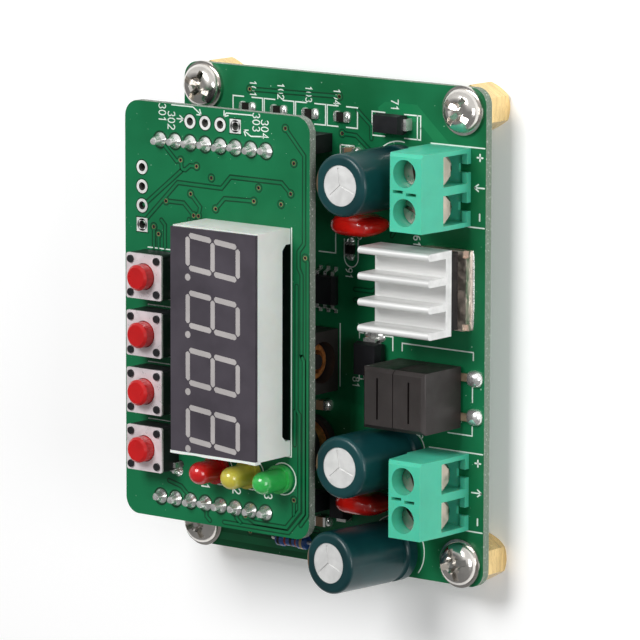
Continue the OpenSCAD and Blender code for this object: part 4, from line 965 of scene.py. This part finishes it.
def add_mound(bm, x, y, base, size, seed=0, rings=5, count=16):
    """A low rounded heap of solder on a rectangular pad."""
    wobble = random.Random(seed)
    layers = []
    for j in range(rings + 1):
        t = j / rings
        shrink = math.sqrt(max(0.0, 1 - t ** 2.2))
        if j == rings:
            layers.append([bm.verts.new((x, y, base + size[2]))])
            continue
        layer = []
        for i in range(count):
            a = 2 * math.pi * i / count
            c, s = math.cos(a), math.sin(a)
            square = (abs(c) ** 3 + abs(s) ** 3) ** (-1 / 3)
            r = shrink * square * (1 + wobble.uniform(-0.02, 0.02))
            layer.append(bm.verts.new((x + r * c * size[0] / 2, y + r * s * size[1] / 2,
                                       base + t * size[2])))
        layers.append(layer)
    bm.faces.new(layers[0])
    for first, second in zip(layers, layers[1:]):
        join_rings(bm, first, second, count)


def make_pad_solder():
    """Solder at the ends of the surface-mounted parts."""
    regulator_leads, regulator_pitch = 5, 1.7
    bm = bmesh.new()
    for index, (low, high) in enumerate(islands("chip_end_caps")):
        x, y = (low.x + high.x) / 2, (low.y + high.y) / 2
        add_mound(bm, x, y, MAIN_TOP, (1.25, 1.5, (high.z - low.z) * 0.9), index)
    low, high = node_box("power_diode")
    for y in (low.y - 0.6, high.y + 0.6):
        add_mound(bm, (low.x + high.x) / 2, y, MAIN_TOP, (3.4, 1.6, 0.6), round(y))
    low, high = node_box("ferrite_coil")
    for y in (low.y + 0.6, high.y - 0.6):
        add_mound(bm, high.x - 0.05, y, MAIN_TOP, (2.4, 2.2, 1.0), round(y * 3))
    low, high = node_box("regulator_tab")
    middle_y = (low.y + high.y) / 2
    add_mound(bm, high.x + 0.1, middle_y, MAIN_TOP, (0.6, high.y - low.y, 0.15), 3)
    for i in range(regulator_leads):
        y = middle_y + (i - (regulator_leads - 1) / 2) * regulator_pitch
        add_mound(bm, low.x + 0.6, y, MAIN_TOP, (1.8, 1.0, 0.4), i)
    finished("pad_solder", bm, M["solder"], 60)


# ------------------------------------------------------------------ trim on the parts

def make_dipped(name):
    """Dipped capacitor: a smooth flattened bead with two soft feet on its leads."""
    low, high = node_box(name)
    middle = (low + high) / 2
    size = high - low
    bm = bmesh.new()
    bmesh.ops.create_icosphere(bm, subdivisions=5, radius=1)
    for v in bm.verts:
        x, y, z = v.co
        wide = math.copysign(abs(x) ** 0.55, x)
        tall = math.copysign(abs(z) ** 0.7, z)
        thick = math.copysign(abs(y) ** 0.8, y) * (1 - 0.12 * abs(wide) ** 3)
        for foot in (-1, 1):
            near = math.exp(-((wide - foot * 0.72) ** 2) * 22) * max(0.0, -tall)
            tall -= 0.12 * near
            thick *= 1 - 0.25 * near
        waist = 1 - 0.035 * math.exp(-(wide ** 2) * 9) * (1 if tall > 0 else 0)
        ripple = 0.012 * math.sin(9 * wide + 4 * tall) * math.cos(7 * tall)
        v.co = (middle.x + wide * size.x / 2 * waist,
                middle.y + thick * (size.y / 2 - 0.01) * (1 - ripple),
                middle.z + tall * size.z / 2 * (0.985 - ripple))
    z_low = min(v.co.z for v in bm.verts)
    z_high = max(v.co.z for v in bm.verts)
    for v in bm.verts:
        v.co.z = low.z + (v.co.z - z_low) / (z_high - z_low) * size.z
    made = finished(name + "_dip", bm, M["red_dip"], 180)
    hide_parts(name)


def make_display_lip():
    """Thin moulded edge that stands past the dark face at the shell's lower end."""
    out_x, out_y, root, tall = 0.12, 0.22, 0.14, 1.1
    waver, steps = 0.05, 24
    low, high = node_box("display_shell")
    left = low.x - out_x
    top = node_box("display_face")[1].z - 0.03
    outer = []
    for i in range(steps + 1):
        t = i / steps
        y = low.y - out_y - waver * math.sin(17 * t) * math.sin(5 * t)
        outer.append((left + t * (high.x - left), y))
    bm = bmesh.new()
    add_prism(bm, outer + [(high.x, low.y + root), (left, low.y + root)], top - tall, top)
    finished("display_lip", bm, M["white"], 0)


def make_bands():
    """Coloured bands round the axial resistor, in a generic order."""
    half_w, skin, waist = 0.2, 0.012, 0.15
    low, high = node_box("axial_resistor")
    middle = (low + high) / 2
    end_r = (high.z - low.z) / 2
    turn = Matrix.Rotation(math.radians(90), 3, "Y")
    colors = {"dark": (0.02, 0.012, 0.01), "warm": (0.3, 0.03, 0.02), "pale": (0.5, 0.36, 0.16)}
    order = (("dark", -1.9), ("warm", -0.9), ("dark", 0.1), ("warm", 1.0), ("pale", 1.9))
    for index, (key, at) in enumerate(order):
        bm = bmesh.new()
        on_end = abs(at) > 1.2
        r = end_r + skin if on_end else end_r - waist + skin
        profile = [(r - 0.05, at - half_w - 0.02), (r, at - half_w), (r, at + half_w),
                   (r - 0.05, at + half_w + 0.02)]
        add_lathe(bm, profile, middle, 32, closed=True, turn=turn)
        paint = plastic(f"band_{key}_{index}", colors[key], 0.3)
        finished(f"resistor_band_{index + 1}", bm, paint, 40)


# ------------------------------------------------------------------ assembly

NODE_FINISH = {
    "main_board": "main", "control_board": "deck", "standoffs": "brass", "corner_screws": "chrome",
    "terminal_contacts": "contact", "heatsink": "sink", "regulator_body": "black",
    "regulator_tab": "contact", "ferrite_core_left": "ferrite", "ferrite_core_right": "ferrite",
    "ferrite_coil": "tinned", "choke_core": "ferrite", "choke_winding": "copper",
    "drum_core": "ferrite", "drum_winding": "copper", "capacitor_bungs": "rubber",
    "input_film_capacitor": "red_dip", "output_film_capacitor": "red_dip",
    "axial_resistor": "blue_dip", "through_hole_leads": "lead", "power_diode": "black",
    "small_packages": "black", "surface_mount_leads": "lead", "control_chip": "black",
    "chip_resistors": "glaze", "chip_capacitors": "ceramic", "chip_end_caps": "solder",
    "header_sockets": "black", "pin_strips": "black", "header_pins": "solder",
    "display_shell": "white", "display_face": "face", "display_segments": "segment",
    "display_pins": "lead", "red_led": "red_lens", "yellow_led": "yellow_lens",
    "green_led": "green_lens", "switch_bases": "black", "switch_covers": "cover",
    "snap_domes": "zinc",
}
for side in ("input", "output"):
    NODE_FINISH[side + "_terminal_body"] = "terminal"
    for pole in ("plus", "minus"):
        NODE_FINISH[f"{side}_{pole}_screw"] = "zinc"
        NODE_FINISH[f"{side}_{pole}_cage"] = "zinc"
for can in CANS:
    NODE_FINISH[can + "_capacitor_can"] = "can"
    NODE_FINISH[can + "_capacitor_sleeve"] = "sleeve"
for number in range(1, 5):
    NODE_FINISH[f"button_{number}"] = "button"


def dress_nodes():
    """Gives every CAD node its finish and smooth curved faces."""
    for name, node in frame["nodes"].items():
        node.data.materials.clear()
        node.data.materials.append(M[NODE_FINISH[name]])
        node.data.shade_smooth()
        node.data.set_sharp_from_angle(angle=math.radians(32))


def make_floor():
    """Pale sheet of paper under the standoffs."""
    half = 1500
    z = cad_low.z / MM
    bm = bmesh.new()
    bm.faces.new([bm.verts.new((x, y, z)) for x, y in box_corners(-half, -half, half, half)])
    bmesh.ops.scale(bm, vec=(MM, MM, MM), verts=bm.verts)
    data = bpy.data.meshes.new("floor")
    bm.to_mesh(data)
    bm.free()
    floor = bpy.data.objects.new("floor", data)
    bpy.context.scene.collection.objects.link(floor)
    paper = Finish("floor_paper", (0.93, 0.93, 0.93), 0.8, Emission_Strength=0.15)
    paper.shader.inputs["Emission Color"].default_value = (1, 1, 1, 1)
    paper.mottle(20, 0.004)
    data.materials.append(paper.material)


make_camera()
make_lights()
make_world()
M = make_materials()
dress_nodes()
make_floor()
add_tracks("deck", DECK_TRACKS, DECK_VIAS, DECK_TOP)
add_tracks("main", MAIN_TRACKS, MAIN_VIAS, MAIN_TOP)
make_pours()
make_deck_silk()
make_main_silk()
make_pads()
make_solder()
make_pad_solder()
make_dipped("input_film_capacitor")
make_dipped("output_film_capacitor")
make_bands()
make_display_lip()

scene = bpy.context.scene
scene.view_settings.view_transform = "Standard"
